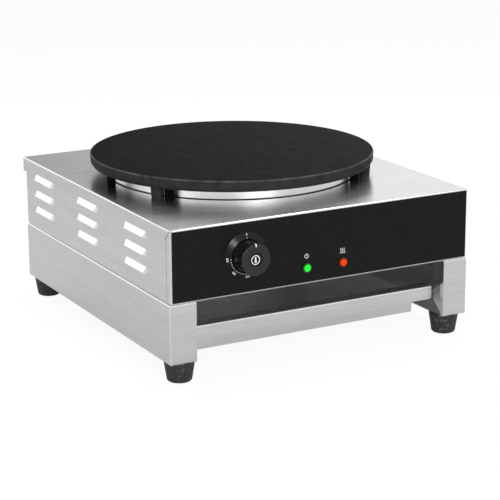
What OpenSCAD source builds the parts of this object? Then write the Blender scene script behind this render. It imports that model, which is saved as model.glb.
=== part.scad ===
// Electric crepe maker: a round cast iron griddle on a folded steel housing over a base frame with a drawer.
// Millimetres. +Z is up, -Y is the front with the knob, and Z = 0 is the table under the feet.

/* [Overall] */
// Width of the housing and the base frame
body_w = 450; // [445:1:460]
// Depth of the deck, front to rear
deck_d = 490; // [485:1:500]
// How far the deck stands out behind the rear panel
overhang = 13; // [11:1:16]
// Height of the rubber feet
foot_h = 28; // [24:1:34]
// Height of the base frame
base_h = 80; // [76:1:90]
// Height of the housing
housing_h = 97; // [94:1:110]

/* [Sheet metal] */
// Thickness of the folded sheets
sheet = 1.2; // [1:0.1:1.4]
// Outside radius of the folds
fold_r = 2.3; // [2.2:0.1:3]
// Width of the post faces at the front of the base frame
post_w = 36; // [35:1:40]
// Depth of the return behind each post face
post_return = 22; // [20:1:24]

/* [Griddle] */
// Diameter of the griddle
griddle_d = 400; // [390:1:402]
// Thickness of the griddle
griddle_t = 15.5; // [12:0.5:16]
// Gap between the deck and the griddle, which is the height of its legs
griddle_gap = 16; // [16:1:20]
// Diameter of the polished heat shield ring
shield_d = 348; // [330:1:350]

/* [Drawer] */
// Half the width of the drawer's front lip
lip_half_w = 185; // [183:1:185]
// Half the width of the drawer's box
box_half_w = 166; // [162:1:166]
// Height of the drawer's front lip
lip_h = 18.5; // [16:0.5:22]
// Depth of the handle strip on top of the drawer's front
lip_depth = 21; // [18:1:23]
// Travel of the drawer
drawer_travel = 340; // [300:5:340]

/* [Controls] */
// Diameter of the thermostat knob
knob_d = 43; // [42:1:45]
// How far the knob's face stands in front of the steel front panel
knob_out = 28; // [26:1:32]
// Outside diameter of the fixed dial ring
dial_d = 62; // [58:1:64]
// Sideways place of the knob
knob_x = -118; // [-125:1:-110]
// Half the distance from lamp to lamp
lamp_x = 27.4; // [24:0.2:36]

/* [Hidden] */
$fn = 64;

// Heights
base_z = foot_h;
seam_z = base_z + base_h;
deck_z = seam_z + housing_h;
griddle_z = deck_z + griddle_gap;
top_z = griddle_z + griddle_t;

// Places along Y. The knob's face and the cable gland's mouth are equally far from Y = 0.
half_w = body_w / 2;
gland_past_deck = 4;
front_y = -(deck_d + gland_past_deck - knob_out) / 2;
deck_rear_y = front_y + deck_d;
rear_y = deck_rear_y - overhang;
gland_y = deck_rear_y + gland_past_deck;
griddle_y = 24;

// Sheet metal details
fold_in = fold_r - sheet;
base_proud = 2;
base_half_w = half_w + base_proud;
rear_lip = 20;
flange = 20;
front_lip = 15;
seam_set = 11;
seam_gap = 0.3;
slit_reach = 14;
slit_w = 0.9;
return_cut = 18;

// Louvres
louvre_out = 4.5;
louvre_len = 62;
louvre_h = 8.8;
louvre_mouth = 1.3;
louvre_end = 4;
louvre_round = 2.4;
louvre_pitch_z = 23.6;
louvre_pitch_y = 154;
louvre_top_z = deck_z - 25.3;
louvre_mid_y = 21;

// Fasteners
screw_r = 2.4;
hole_r = 2.7;
frame_screw_x = half_w - 12;
frame_screw_y = [-170, 10, 190];

// Drawer
drawer_x = -3.5;
lip_y = front_y + 18;
wall_y = lip_y + lip_depth - sheet;
rim_z = base_z + 41.3;
drawer_floor_z = base_z + 2;
flange_z = base_z + 29.5;
flange_half_w = half_w - post_w - 1.3 + drawer_x;
drawer_rear_y = 200;
runner_gap = 0.3;
runner_top_z = flange_z - sheet - runner_gap;
runner_front_y = wall_y + 3;
runner_in_x = box_half_w - drawer_x + 3;
runner_web_x = flange_half_w - drawer_x + 3;
runner_tab_x = flange_half_w + drawer_x - 6;
drawer_stop_y = drawer_rear_y - 3 - sheet;

// Feet
foot_r_top = 20.5;
foot_r_low = 16.7;
foot_in = 20.5;
foot_y = [front_y + foot_in, rear_y - foot_in];
foot_screw_r = 2.9;
foot_well = 5.5;

// Griddle, its legs and what is under it
leg_place_r = 187.5;
leg_low_r = 8.2;
leg_top_r = 9.6;
leg_angles = [87, 210, 322];
post_place_r = 183;
post_angles = [35, 130, 215, 310];
post_r = 6.4;
earth_place_r = 190.5;
stud_r = 4;
shield_r = shield_d / 2;
shield_top_z = griddle_z - 2;
shield_floor_z = deck_z - 27;
shield_hole_r = shield_r + 1.1;
shield_flange_r = 192;
element_r = 4.2;
element_z = griddle_z - element_r - 0.1;
element_rings = [62, 118];
element_open = 24;
element_leg_r = 4.5;
element_leg_z = shield_floor_z - 14;
insulation_t = 15;
clamp_z = element_z - element_r - 4.1;
bulb_r = 3.2;
bulb_place_r = 90;
bulb_len = 86;
bulb_angle = 235;
tube_reach = 14;
bulb_z = griddle_z - bulb_r - 0.1;
earth_angle = 182;
earth_r = 3;

// Controls on the front panel
fascia_t = 1;
fascia_y = front_y - fascia_t;
fascia_edge = 2.4;
knob_z = deck_z - 45.5;
lamp_z = seam_z + 22.2;
lamp_mid_x = -1.2;
lamp_places = [lamp_mid_x - lamp_x, lamp_mid_x + lamp_x];
dial_t = 4;
shaft_r = 3;
knob_base_y = fascia_y - 0.6;
knob_face_y = front_y - knob_out;
thermostat_y = front_y + sheet;
thermostat_size = [42, 26, 40];
lamp_collar_r = 6.9;
lamp_lens_r = 6.1;
lamp_hole_r = 5.1;
lamp_collar_t = 1.6;

// Gland and wiring
gland_x = 150;
gland_z = seam_z + 33;
cable_r = 5.2;
block_y = rear_y - 70;
wire_r = 1.6;
wire_loft = 14;

// ---- Shapes that repeat ----

// A rectangle with round corners, from corner p to corner q
module round_rect(p, q, r) {
    translate([p[0] + r, p[1]]) square([q[0] - p[0] - 2 * r, q[1] - p[1]]);
    translate([p[0], p[1] + r]) square([q[0] - p[0], q[1] - p[1] - 2 * r]);
    for (x = [p[0] + r, q[0] - r], y = [p[1] + r, q[1] - r])
        translate([x, y]) circle(r);
}

// A block from corner p to corner q
module block(p, q) {
    translate(p) cube(q - p);
}

// A block whose twelve edges are round, as folded sheet has them
module round_block(p, q, r) {
    intersection() {
        translate([0, 0, p[2]]) linear_extrude(q[2] - p[2]) round_rect([p[0], p[1]], [q[0], q[1]], r);
        translate([p[0], 0, 0]) rotate([90, 0, 90]) linear_extrude(q[0] - p[0])
            round_rect([p[1], p[2]], [q[1], q[2]], r);
        translate([0, q[1], 0]) rotate([90, 0, 0]) linear_extrude(q[1] - p[1])
            round_rect([p[0], p[2]], [q[0], q[2]], r);
    }
}

// The skin of a round block, one sheet thick
module folded_skin(p, q) {
    difference() {
        round_block(p, q, fold_r);
        round_block(p + sheet * [1, 1, 1], q - sheet * [1, 1, 1], fold_in);
    }
}

module hex_prism(across, height) {
    cylinder(h = height, r = across / sqrt(3), $fn = 6);
}

// A cylinder along +Y from the origin
module rod_y(r, length) {
    rotate([-90, 0, 0]) cylinder(r = r, h = length);
}

module ring_y(r_out, r_in, length) {
    difference() {
        rod_y(r_out, length);
        translate([0, -1, 0]) rod_y(r_in, length + 2);
    }
}

// A round tube or rod that goes through the listed points, with ball corners
module bent_rod(points, r) {
    for (i = [0 : len(points) - 2]) {
        run = points[i + 1] - points[i];
        span = norm(run);
        translate(points[i]) rotate([0, acos(run[2] / span), atan2(run[1], run[0])])
            cylinder(r = r, h = span, $fn = 24);
    }
    for (p = points) translate(p) rotate([20, 35, 0]) sphere(r + 0.05, $fn = 24);
}

// A pan head above Z = 0 with its shank below
module pan_screw(head_r, head_h, shank_r, shank_len) {
    difference() {
        union() {
            cylinder(r1 = head_r, r2 = head_r * 0.72, h = head_h);
            translate([0, 0, -shank_len]) cylinder(r = shank_r, h = shank_len + 0.1);
        }
        for (a = [0, 90])
            rotate(a) translate([-head_r * 0.5, -0.5, head_h * 0.5]) cube([head_r, 1, head_h]);
    }
}

// ---- Base frame ----

// Left side of the base frame: wall, top and bottom flanges, front post with its return, rear flange
module base_side_shape() {
    inner_x = -half_w + post_w;
    outer_x = -base_half_w - 1;
    difference() {
        union() {
            intersection() {
                folded_skin([-base_half_w, front_y, base_z], [base_half_w, rear_y, seam_z]);
                union() {
                    block([outer_x, front_y - 1, base_z - 1], [-base_half_w + 4, rear_y + 1, seam_z + 1]);
                    block([outer_x, front_y - 1, base_z - 1], [inner_x, front_y + 4, seam_z + 1]);
                    block([outer_x, front_y - 1, base_z - 1], [inner_x, rear_y + 1, base_z + 4]);
                    block([outer_x, front_y - 1, seam_z - 4], [-half_w + flange, rear_y + 1, seam_z + 1]);
                    block([outer_x, front_y - 1, seam_z - 4], [inner_x, front_y + post_return, seam_z + 1]);
                    block([outer_x, rear_y - 4, base_z - 1], [-half_w + flange, rear_y + 1, seam_z + 1]);
                }
            }
            // return behind the post face, cut away below on a slant
            translate([inner_x - sheet, 0, 0]) rotate([90, 0, 90]) linear_extrude(sheet) polygon([
                [front_y + sheet / 2, base_z + sheet / 2],
                [front_y + post_return, base_z + return_cut],
                [front_y + post_return, seam_z - sheet / 2],
                [front_y + sheet / 2, seam_z - sheet / 2]
            ]);
        }
        for (y = foot_y)
            translate([-half_w + foot_in, y, base_z - 1]) cylinder(r = foot_screw_r + 0.3, h = sheet + 2);
        for (y = frame_screw_y)
            translate([-frame_screw_x, y, seam_z - sheet - 1]) cylinder(r = hole_r, h = sheet + 2);
    }
}

module base_side_left() {
    color([0.72, 0.72, 0.73]) base_side_shape();
}

module base_side_right() {
    color([0.72, 0.72, 0.73]) mirror([1, 0, 0]) base_side_shape();
}

// Rear panel of the base, behind the drawer, inside the rear flanges
module base_rear_panel() {
    lower_x = half_w - post_w - 1;
    face_y = rear_y - sheet;
    color([0.7, 0.7, 0.71]) difference() {
        union() {
            block([-half_w + 3, face_y - sheet, base_z + fold_r], [half_w - 3, face_y, seam_z - fold_r]);
            block([-lower_x, face_y - sheet, base_z + sheet], [lower_x, face_y, base_z + 2 * fold_r]);
            block([-lower_x, rear_y - 18, base_z + sheet], [lower_x, face_y, base_z + 2 * sheet]);
        }
        for (i = [-2 : 2]) translate([i * 60, rear_y - 10, base_z + 40]) rod_y(3, 20);
    }
}

// Left drawer runner: ledge, screwed leg, a tab above the drawer's flange and a stop behind it
module runner_shape() {
    wall_x = -base_half_w + sheet;
    y_rear = rear_y - 8;
    ledge_low = runner_top_z - sheet;
    tab_low = flange_z + 0.8;
    tab_front = runner_front_y + 2;
    tab_rear = drawer_stop_y - drawer_travel - 1;
    stop_y = drawer_rear_y + 1.2;
    block([wall_x, runner_front_y, ledge_low], [-runner_in_x, y_rear, runner_top_z]);
    block([wall_x, runner_front_y, ledge_low], [wall_x + sheet, y_rear, runner_top_z + 20]);
    block([-runner_web_x, tab_front, ledge_low], [-runner_web_x + sheet, tab_rear, tab_low + sheet]);
    block([-runner_web_x, tab_front, tab_low], [-runner_tab_x, tab_rear, tab_low + sheet]);
    block([-runner_web_x, stop_y, ledge_low], [-runner_tab_x, stop_y + sheet, flange_z + 5]);
}

module runner_left() {
    color([0.6, 0.6, 0.61]) runner_shape();
}

module runner_right() {
    color([0.6, 0.6, 0.61]) mirror([1, 0, 0]) runner_shape();
}

// Tapered rubber foot with a rounded lower edge and a shallow well for its screw
module foot(side, y) {
    edge_r = 4;
    color([0.1, 0.1, 0.1]) translate([side * (half_w - foot_in), y, 0]) difference() {
        rotate_extrude() union() {
            polygon([[0, 0], [foot_r_low - edge_r, 0], [foot_r_low - edge_r, edge_r], [0, edge_r]]);
            translate([foot_r_low - edge_r, edge_r]) intersection() {
                circle(edge_r);
                translate([0, -edge_r]) square([edge_r, 2 * edge_r]);
            }
            polygon([[0, edge_r], [foot_r_low, edge_r], [foot_r_top, base_z], [0, base_z]]);
        }
        translate([0, 0, -1]) cylinder(r = 6.5, h = foot_well + 1);
        cylinder(r = foot_screw_r, h = base_z + 1);
    }
}

module foot_front_left() { foot(-1, foot_y[0]); }
module foot_front_right() { foot(1, foot_y[0]); }
module foot_rear_left() { foot(-1, foot_y[1]); }
module foot_rear_right() { foot(1, foot_y[1]); }

module at_feet() {
    for (s = [-1, 1], y = foot_y) translate([s * (half_w - foot_in), y, 0]) children();
}

module foot_screws() {
    head_h = 3;
    color([0.65, 0.65, 0.66]) at_feet() translate([0, 0, foot_well]) mirror([0, 0, 1])
        pan_screw(5.4, head_h, foot_screw_r - 0.1, base_z - foot_well + 8);
}

module foot_nuts() {
    color([0.65, 0.65, 0.66]) at_feet() translate([0, 0, base_z + sheet]) difference() {
        hex_prism(9.6, 4.2);
        translate([0, 0, -1]) cylinder(r = foot_screw_r, h = 7);
    }
}

// ---- Drawer ----

// Outline of the box seen along Y, from its floor up to its top folds, smaller by the inset
module box_outline(inset, r) {
    fold_z = flange_z - fold_r;
    intersection() {
        round_rect([inset - box_half_w, drawer_floor_z + inset], [box_half_w - inset, fold_z + base_h], r);
        translate([-box_half_w, drawer_floor_z]) square([2 * box_half_w, fold_z - drawer_floor_z]);
    }
}

// Fold from the top of the left wall out into its flange, and the flange
module flange_profile() {
    fold_x = -box_half_w - fold_in;
    fold_z = flange_z - fold_r;
    intersection() {
        translate([fold_x, fold_z]) difference() {
            circle(fold_r);
            circle(fold_in);
        }
        translate([fold_x, fold_z]) square(fold_r);
    }
    translate([-flange_half_w, flange_z - sheet]) square([flange_half_w + fold_x, sheet]);
}

// Floor, side walls and flanges are folded from one sheet, and the rear wall is welded in
module drawer_box() {
    start_y = wall_y + sheet;
    rear_wall_y = drawer_rear_y - sheet;
    color([0.62, 0.62, 0.63]) translate([drawer_x, 0, 0]) difference() {
        union() {
            translate([0, rear_wall_y, 0]) rotate([90, 0, 0]) linear_extrude(rear_wall_y - start_y) {
                difference() {
                    box_outline(0, fold_r);
                    box_outline(sheet, fold_in);
                }
                flange_profile();
                mirror([1, 0]) flange_profile();
            }
            translate([0, drawer_rear_y, 0]) rotate([90, 0, 0]) linear_extrude(sheet) box_outline(0, fold_r);
            // raised stop at the rear of each flange
            for (s = [0, 1]) mirror([s, 0, 0])
                block([-flange_half_w, drawer_stop_y, flange_z - sheet],
                    [-flange_half_w + 9, drawer_stop_y + sheet, flange_z + 8]);
        }
        for (s = [-1, 1])
            translate([s * (box_half_w - 12), wall_y + 9, drawer_floor_z - 1]) cylinder(r = 1.7, h = 4);
    }
}

// Drawer front: wall, handle strip folded forward, and lip folded down with round lower corners
module drawer_front() {
    corner_r = 3.5;
    skin_half_w = lip_half_w + 2 * fold_r;
    color([0.72, 0.72, 0.73]) translate([drawer_x, 0, 0]) difference() {
        union() {
            // lip and strip, cut from a folded skin whose round ends lie past the cut
            intersection() {
                folded_skin([-skin_half_w, lip_y, rim_z - 3 * lip_h],
                    [skin_half_w, wall_y + sheet, rim_z]);
                union() {
                    translate([0, lip_y + 4, 0]) rotate([90, 0, 0]) linear_extrude(5)
                        round_rect([-lip_half_w, rim_z - lip_h],
                            [lip_half_w, rim_z + 2 * corner_r], corner_r);
                    block([-lip_half_w, lip_y + 3.9, rim_z - sheet], [lip_half_w, wall_y + 2, rim_z + 1]);
                    block([-box_half_w + fold_r, wall_y - 2, rim_z - 4],
                        [box_half_w - fold_r, wall_y + 2, rim_z + 1]);
                }
            }
            // wall below the strip
            translate([0, wall_y + sheet, 0]) rotate([90, 0, 0]) linear_extrude(sheet) difference() {
                round_rect([-box_half_w, drawer_floor_z], [box_half_w, rim_z + 10], fold_in);
                translate([-half_w, rim_z - fold_r]) square([2 * half_w, 40]);
            }
            // foot flange under the box's floor line, for the rivets
            block([-box_half_w + 4, wall_y, drawer_floor_z + sheet],
                [box_half_w - 4, wall_y + 16, drawer_floor_z + 2 * sheet]);
        }
        for (s = [-1, 1])
            translate([s * (box_half_w - 12), wall_y + 9, drawer_floor_z - 1]) cylinder(r = 1.7, h = 8);
    }
}

module drawer_rivets() {
    head = 1;
    color([0.7, 0.7, 0.7]) for (s = [-1, 1])
        translate([drawer_x + s * (box_half_w - 12), wall_y + 9, drawer_floor_z]) {
            translate([0, 0, -head]) cylinder(r = 3, h = head);
            cylinder(r = 1.65, h = 2 * sheet);
            translate([0, 0, 2 * sheet]) cylinder(r1 = 3, r2 = 2, h = head);
        }
}

// ---- Housing ----

housing_low = [-half_w, front_y, seam_z];
housing_high = [half_w, deck_rear_y, deck_z];

// A solid across the full width that holds the slanted part of the side seam, at the given gap from it
module below_corner_slant(gap) {
    translate([-half_w - 5, 0, 0]) rotate([90, 0, 90]) linear_extrude(body_w + 10) polygon([
        [front_y - 5, seam_z - 5],
        [front_y + seam_set - gap, seam_z - 5],
        [front_y + seam_set - gap, deck_z - seam_set - gap],
        [front_y - 5, deck_z + 5 - 2 * gap]
    ]);
}

// The dark slit at the top front corner of each side
module corner_slit() {
    reach = slit_reach + 0.5;
    for (s = [-1, 1])
        translate([s * half_w, front_y, deck_z]) rotate([-45, 0, 0])
            block([-3, 0.8, -slit_w / 2], [3, reach * sqrt(2), slit_w / 2]);
}

module at_louvres() {
    for (s = [0, 1]) mirror([s, 0, 0]) for (row = [0 : 2], col = [-1 : 1])
        translate([-half_w, louvre_mid_y + col * louvre_pitch_y, louvre_top_z - row * louvre_pitch_z])
            children();
}

// One louvre of the left side as a solid wedge, smaller all round by the inset, with its mouth at the bottom
module louvre_wedge(inset, depth) {
    half = louvre_len / 2 - inset;
    out = louvre_out - inset;
    top = louvre_h - inset;
    intersection() {
        translate([0, half, 0]) rotate([90, 0, 0]) linear_extrude(2 * half)
            polygon([[depth, 0], [-out, 0], [-out, louvre_mouth], [0, top], [depth, top]]);
        linear_extrude(louvre_h) polygon([
            [depth, -half], [0, -half], [-out, louvre_end - half],
            [-out, half - louvre_end], [0, half], [depth, half]
        ]);
        translate([-louvre_out - 1, 0, 0]) rotate([90, 0, 90]) linear_extrude(louvre_out + depth + 2)
            round_rect([-half, -2 * louvre_round], [half, top], louvre_round);
    }
}

module louvre_hood() {
    louvre_wedge(0, sheet / 2);
}

module louvre_inside() {
    translate([0, 0, -0.01]) louvre_wedge(sheet * 0.8, 2 * sheet);
}

// Deck with front and rear lips, and both louvred sides with their bottom and rear flanges
module housing_shell() {
    outer_x = half_w + 1;
    outer_y = deck_rear_y + 1;
    lip_z = deck_z - rear_lip;
    color([0.74, 0.74, 0.75]) difference() {
        union() {
            difference() {
                intersection() {
                    folded_skin(housing_low, housing_high);
                    for (s = [0, 1]) mirror([s, 0, 0]) {
                        block([-outer_x, front_y - 1, deck_z - 4], [1, outer_y, deck_z + 1]);
                        block([-half_w + fold_r, front_y - 1, deck_z - front_lip],
                            [1, front_y + 4, deck_z + 1]);
                        block([-outer_x, deck_rear_y - 4, lip_z], [1, outer_y, deck_z + 1]);
                        block([-outer_x, rear_y - 10, lip_z], [-half_w + 4, outer_y, deck_z + 1]);
                        block([-outer_x, front_y - 1, seam_z - 1], [-half_w + 4, rear_y, deck_z + 1]);
                        block([-outer_x, front_y + seam_set, seam_z - 1],
                            [-half_w + flange, rear_y, seam_z + 4]);
                    }
                }
                difference() {
                    below_corner_slant(-seam_gap);
                    block([-half_w + fold_r, front_y - 6, deck_z - front_lip],
                        [half_w - fold_r, front_y + 20, deck_z + 10]);
                }
                corner_slit();
            }
            at_louvres() louvre_hood();
            for (s = [0, 1]) mirror([s, 0, 0])
                block([-half_w + sheet / 2, rear_y - sheet, seam_z + sheet / 2],
                    [-half_w + flange, rear_y, deck_z - sheet / 2]);
        }
        at_louvres() louvre_inside();
        translate([0, griddle_y, deck_z - 5]) cylinder(r = shield_hole_r, h = 10, $fn = 128);
        at_griddle_posts() translate([0, 0, deck_z - 5]) cylinder(r = stud_r + 0.4, h = 10);
        at_earth_stud() translate([0, 0, deck_z - 5]) cylinder(r = earth_r + 0.4, h = 10);
        for (s = [-1, 1], y = frame_screw_y)
            translate([s * frame_screw_x, y, seam_z - 1]) cylinder(r = hole_r, h = sheet + 2);
        at_rear_screws() translate([0, -5, 0]) rod_y(hole_r, 10);
    }
}

// Steel front panel behind the fascia, with a short return on each side and a flange below
module front_panel() {
    outer_x = half_w + 1;
    return_y = front_y + seam_set + 1;
    color([0.74, 0.74, 0.75]) difference() {
        intersection() {
            folded_skin(housing_low, housing_high);
            below_corner_slant(seam_gap);
            union() {
                block([-outer_x, front_y - 1, seam_z - 1],
                    [outer_x, front_y + 4, deck_z - front_lip - seam_gap]);
                for (s = [0, 1]) mirror([s, 0, 0])
                    block([-outer_x, front_y - 1, seam_z - 1], [-half_w + fold_r, return_y, deck_z]);
                block([-outer_x, front_y - 1, seam_z - 1], [outer_x, return_y, seam_z + 4]);
            }
        }
        corner_slit();
        control_holes();
        at_thermostat_screws() translate([0, front_y - 5, 0]) rod_y(2.1, 10);
    }
}

// Holes for the thermostat's shaft and for the two lamps
module control_holes() {
    translate([knob_x, front_y - 5, knob_z]) rod_y(shaft_r + 2.4, 10);
    for (x = lamp_places) translate([x, front_y - 5, lamp_z]) rod_y(lamp_hole_r, 10);
}

module at_thermostat_screws() {
    for (s = [-1, 1]) translate([knob_x + s * 14, 0, knob_z]) children();
}

// Black control fascia, stuck to the steel
module fascia() {
    color([0.03, 0.03, 0.03]) difference() {
        translate([0, front_y, 0]) rotate([90, 0, 0]) linear_extrude(fascia_t)
            round_rect([-half_w + fascia_edge, seam_z + fascia_edge],
                [half_w - fascia_edge, deck_z - fold_r + 0.2], 0.8);
        control_holes();
        at_thermostat_screws() translate([0, front_y - 5, 0]) rod_y(4.2, 10);
    }
}

module housing_floor() {
    color([0.68, 0.68, 0.69]) difference() {
        block([-half_w + 4, front_y + 4, seam_z + sheet], [half_w - 4, rear_y - 4, seam_z + 2 * sheet]);
        for (s = [-1, 1], y = frame_screw_y)
            translate([s * frame_screw_x, y, seam_z - 1]) cylinder(r = hole_r, h = 3 * sheet + 2);
        for (x = [-75, -25, 25, 75], y = [-40, 90])
            translate([x - 15, y, seam_z]) {
                translate([0, -3, 0]) cube([30, 6, 3 * sheet]);
                for (e = [0, 30]) translate([e, 0, 0]) cylinder(r = 3, h = 3 * sheet);
            }
    }
}

module at_rear_screws() {
    for (s = [-1, 1], z = [seam_z + 14, (seam_z + deck_z) / 2, deck_z - rear_lip - 6])
        translate([s * (half_w - 14), rear_y, z]) children();
}

module rear_panel() {
    color([0.7, 0.7, 0.71]) difference() {
        translate([0, rear_y + sheet, 0]) rotate([90, 0, 0]) linear_extrude(sheet)
            round_rect([-half_w + 4, seam_z + 3], [half_w - 4, deck_z - sheet - 1], 3);
        at_rear_screws() translate([0, -5, 0]) rod_y(hole_r, 10);
        translate([gland_x, rear_y - 5, gland_z]) rod_y(10.2, 10);
        for (x = [-120, -60, 0], z = [seam_z + 30, seam_z + 42, seam_z + 54])
            translate([x, rear_y + 5, z]) rotate([90, 0, 0]) linear_extrude(10)
                round_rect([-20, -2], [20, 2], 1.9);
    }
}

module frame_screws() {
    color([0.75, 0.75, 0.76]) for (s = [-1, 1], y = frame_screw_y)
        translate([s * frame_screw_x, y, seam_z - sheet]) mirror([0, 0, 1]) pan_screw(4.6, 3, screw_r, 9);
}

module frame_nuts() {
    color([0.75, 0.75, 0.76]) for (s = [-1, 1], y = frame_screw_y)
        translate([s * frame_screw_x, y, seam_z + 2 * sheet]) difference() {
            hex_prism(8, 3.8);
            translate([0, 0, -1]) cylinder(r = screw_r + 0.05, h = 6);
        }
}

module rear_panel_screws() {
    color([0.75, 0.75, 0.76]) at_rear_screws()
        translate([0, sheet, 0]) rotate([-90, 0, 0]) pan_screw(4.4, 2.6, screw_r, 8);
}

// Cable gland: threaded barrel through the rear panel, hexagon, and ribbed dome cap
module cable_gland() {
    barrel_y = rear_y - 12;
    hex_y = rear_y + sheet;
    color([0.08, 0.08, 0.08]) translate([gland_x, 0, gland_z]) difference() {
        union() {
            translate([0, barrel_y, 0]) rod_y(9.8, hex_y - barrel_y + 0.5);
            translate([0, hex_y, 0]) rotate([-90, 0, 0]) hex_prism(24, 5);
            translate([0, hex_y + 5, 0]) rotate([-90, 0, 0])
                cylinder(r1 = 11.6, r2 = 7.8, h = gland_y - hex_y - 5);
        }
        translate([0, barrel_y - 1, 0]) rod_y(cable_r, 60);
    }
}

module gland_locknut() {
    nut_t = 5;
    color([0.08, 0.08, 0.08]) translate([gland_x, rear_y - nut_t, gland_z]) difference() {
        rotate([-90, 0, 0]) hex_prism(24, nut_t);
        translate([0, -1, 0]) rod_y(9.85, nut_t + 2);
    }
}

// ---- Griddle ----

module at_griddle_posts() {
    for (a = post_angles)
        translate([post_place_r * cos(a), griddle_y + post_place_r * sin(a), 0]) children();
}

module at_earth_stud() {
    translate([earth_place_r * cos(earth_angle), griddle_y + earth_place_r * sin(earth_angle), 0]) children();
}

module griddle() {
    edge_r = 1.6;
    r = griddle_d / 2;
    low_r = r - 3;
    color([0.07, 0.07, 0.07]) difference() {
        union() {
            translate([0, griddle_y, 0]) rotate_extrude($fn = 180) union() {
                polygon([
                    [0, griddle_z], [low_r, griddle_z], [r - 0.4, griddle_z + 4],
                    [r, top_z - edge_r], [0, top_z - edge_r]
                ]);
                square_to(top_z - edge_r - 0.5, top_z, r - edge_r);
                translate([r - edge_r, top_z - edge_r]) intersection() {
                    circle(edge_r);
                    square([edge_r, edge_r]);
                }
            }
            for (a = leg_angles)
                translate([leg_place_r * cos(a), griddle_y + leg_place_r * sin(a), deck_z])
                    cylinder(r1 = leg_low_r, r2 = leg_top_r, h = griddle_gap + 2);
        }
        at_griddle_posts() translate([0, 0, griddle_z - 1]) cylinder(r = stud_r + 0.05, h = 9);
        at_earth_stud() translate([0, 0, griddle_z - 1]) cylinder(r = earth_r + 0.05, h = 8);
        translate([0, griddle_y, griddle_z - 1]) cylinder(r = 4.05, h = 9);
    }
}

// A flat strip from the axis to radius r, between two heights, for a turned profile
module square_to(z0, z1, r) {
    translate([0, z0]) square([r, z1 - z0]);
}

module griddle_spacers() {
    color([0.04, 0.04, 0.04]) at_griddle_posts() translate([0, 0, deck_z]) difference() {
        cylinder(r = post_r, h = griddle_gap);
        translate([0, 0, -1]) cylinder(r = stud_r + 0.3, h = griddle_gap + 2);
    }
}

module griddle_studs() {
    below = 14;
    color([0.6, 0.6, 0.6]) at_griddle_posts() translate([0, 0, deck_z - below])
        cylinder(r = stud_r, h = below + griddle_gap + 7.8);
}

module griddle_nuts() {
    color([0.7, 0.7, 0.7]) at_griddle_posts() translate([0, 0, deck_z - 2 * sheet - 6.5]) difference() {
        hex_prism(13, 6.5);
        translate([0, 0, -1]) cylinder(r = stud_r + 0.05, h = 9);
    }
}

// Stud that bonds the griddle to earth, with its spacer and nut
module griddle_earth_stud() {
    color([0.08, 0.08, 0.08]) at_earth_stud() {
        translate([0, 0, deck_z - 12]) cylinder(r = earth_r, h = 12 + griddle_gap + 6.8);
        translate([0, 0, deck_z - 2 * sheet - 5]) hex_prism(10, 5);
        translate([0, 0, deck_z]) cylinder(r = 6.2, h = griddle_gap);
    }
}

// Polished dish under the griddle: floor, wall through the deck, and a flange that the nuts hold to the deck
module heat_shield() {
    hem_z = deck_z - 2 * sheet;
    color([0.85, 0.85, 0.86]) difference() {
        translate([0, griddle_y, 0]) difference() {
            rotate_extrude($fn = 128) union() {
                translate([0, shield_floor_z]) square([shield_r, sheet]);
                translate([shield_r - sheet, shield_floor_z]) square([sheet, shield_top_z - shield_floor_z]);
                translate([shield_r - sheet, hem_z]) square([shield_flange_r - shield_r + sheet, sheet]);
            }
            at_element_legs() translate([0, 0, shield_floor_z - 1]) cylinder(r = 6, h = 4);
            at_bulb() translate([0, -bulb_len / 2 - tube_reach, shield_floor_z - 1]) cylinder(r = 3, h = 4);
        }
        at_griddle_posts() translate([0, 0, hem_z - 1]) cylinder(r = stud_r + 0.4, h = 4);
        at_earth_stud() translate([0, 0, hem_z - 1]) cylinder(r = earth_r + 0.4, h = 4);
    }
}

// Half the opening of an element's ring, in degrees
function gap_angle(ring_r) = element_open * element_rings[0] / ring_r;

// Places where the legs of both elements go down, around the griddle's centre
module at_element_legs() {
    for (ring_r = element_rings, s = [0, 1])
        mirror([s, 0, 0]) rotate(90 + gap_angle(ring_r)) translate([ring_r, 0, 0]) children();
}

// Middle of the sensor bulb, turned so that the bulb runs along Y
module at_bulb() {
    rotate(bulb_angle) translate([bulb_place_r, 0, 0]) children();
}

module insulation_disc() {
    color([0.92, 0.9, 0.85]) translate([0, griddle_y, shield_floor_z + sheet]) difference() {
        cylinder(r = shield_r - sheet - 1, h = insulation_t, $fn = 96);
        at_element_legs() translate([0, 0, -1]) cylinder(r = 6, h = insulation_t + 2);
        at_bulb() translate([0, -bulb_len / 2 - tube_reach, -1]) cylinder(r = 3, h = insulation_t + 2);
    }
}

// Tubular element: an open ring under the griddle whose ends turn down through the shield
module tubular_element(ring_r) {
    gap = gap_angle(ring_r);
    reach = 2 * ring_r;
    color([0.35, 0.33, 0.32]) translate([0, griddle_y, 0]) {
        difference() {
            translate([0, 0, element_z]) rotate_extrude($fn = 96)
                translate([ring_r, 0]) circle(element_r, $fn = 32);
            translate([0, 0, element_z - 2 * element_r]) linear_extrude(4 * element_r)
                polygon([[0, 0], reach * [sin(gap), cos(gap)], reach * [-sin(gap), cos(gap)]]);
        }
        for (s = [-1, 1]) rotate(90 + s * gap) translate([ring_r, 0, element_leg_z]) {
            cylinder(r = element_leg_r, h = griddle_z - 0.05 - element_leg_z, $fn = 32);
            translate([0, 0, -10]) cylinder(r = 1.5, h = 10.5, $fn = 24);
        }
    }
}

module heating_element_inner() { tubular_element(element_rings[0]); }
module heating_element_outer() { tubular_element(element_rings[1]); }

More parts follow.
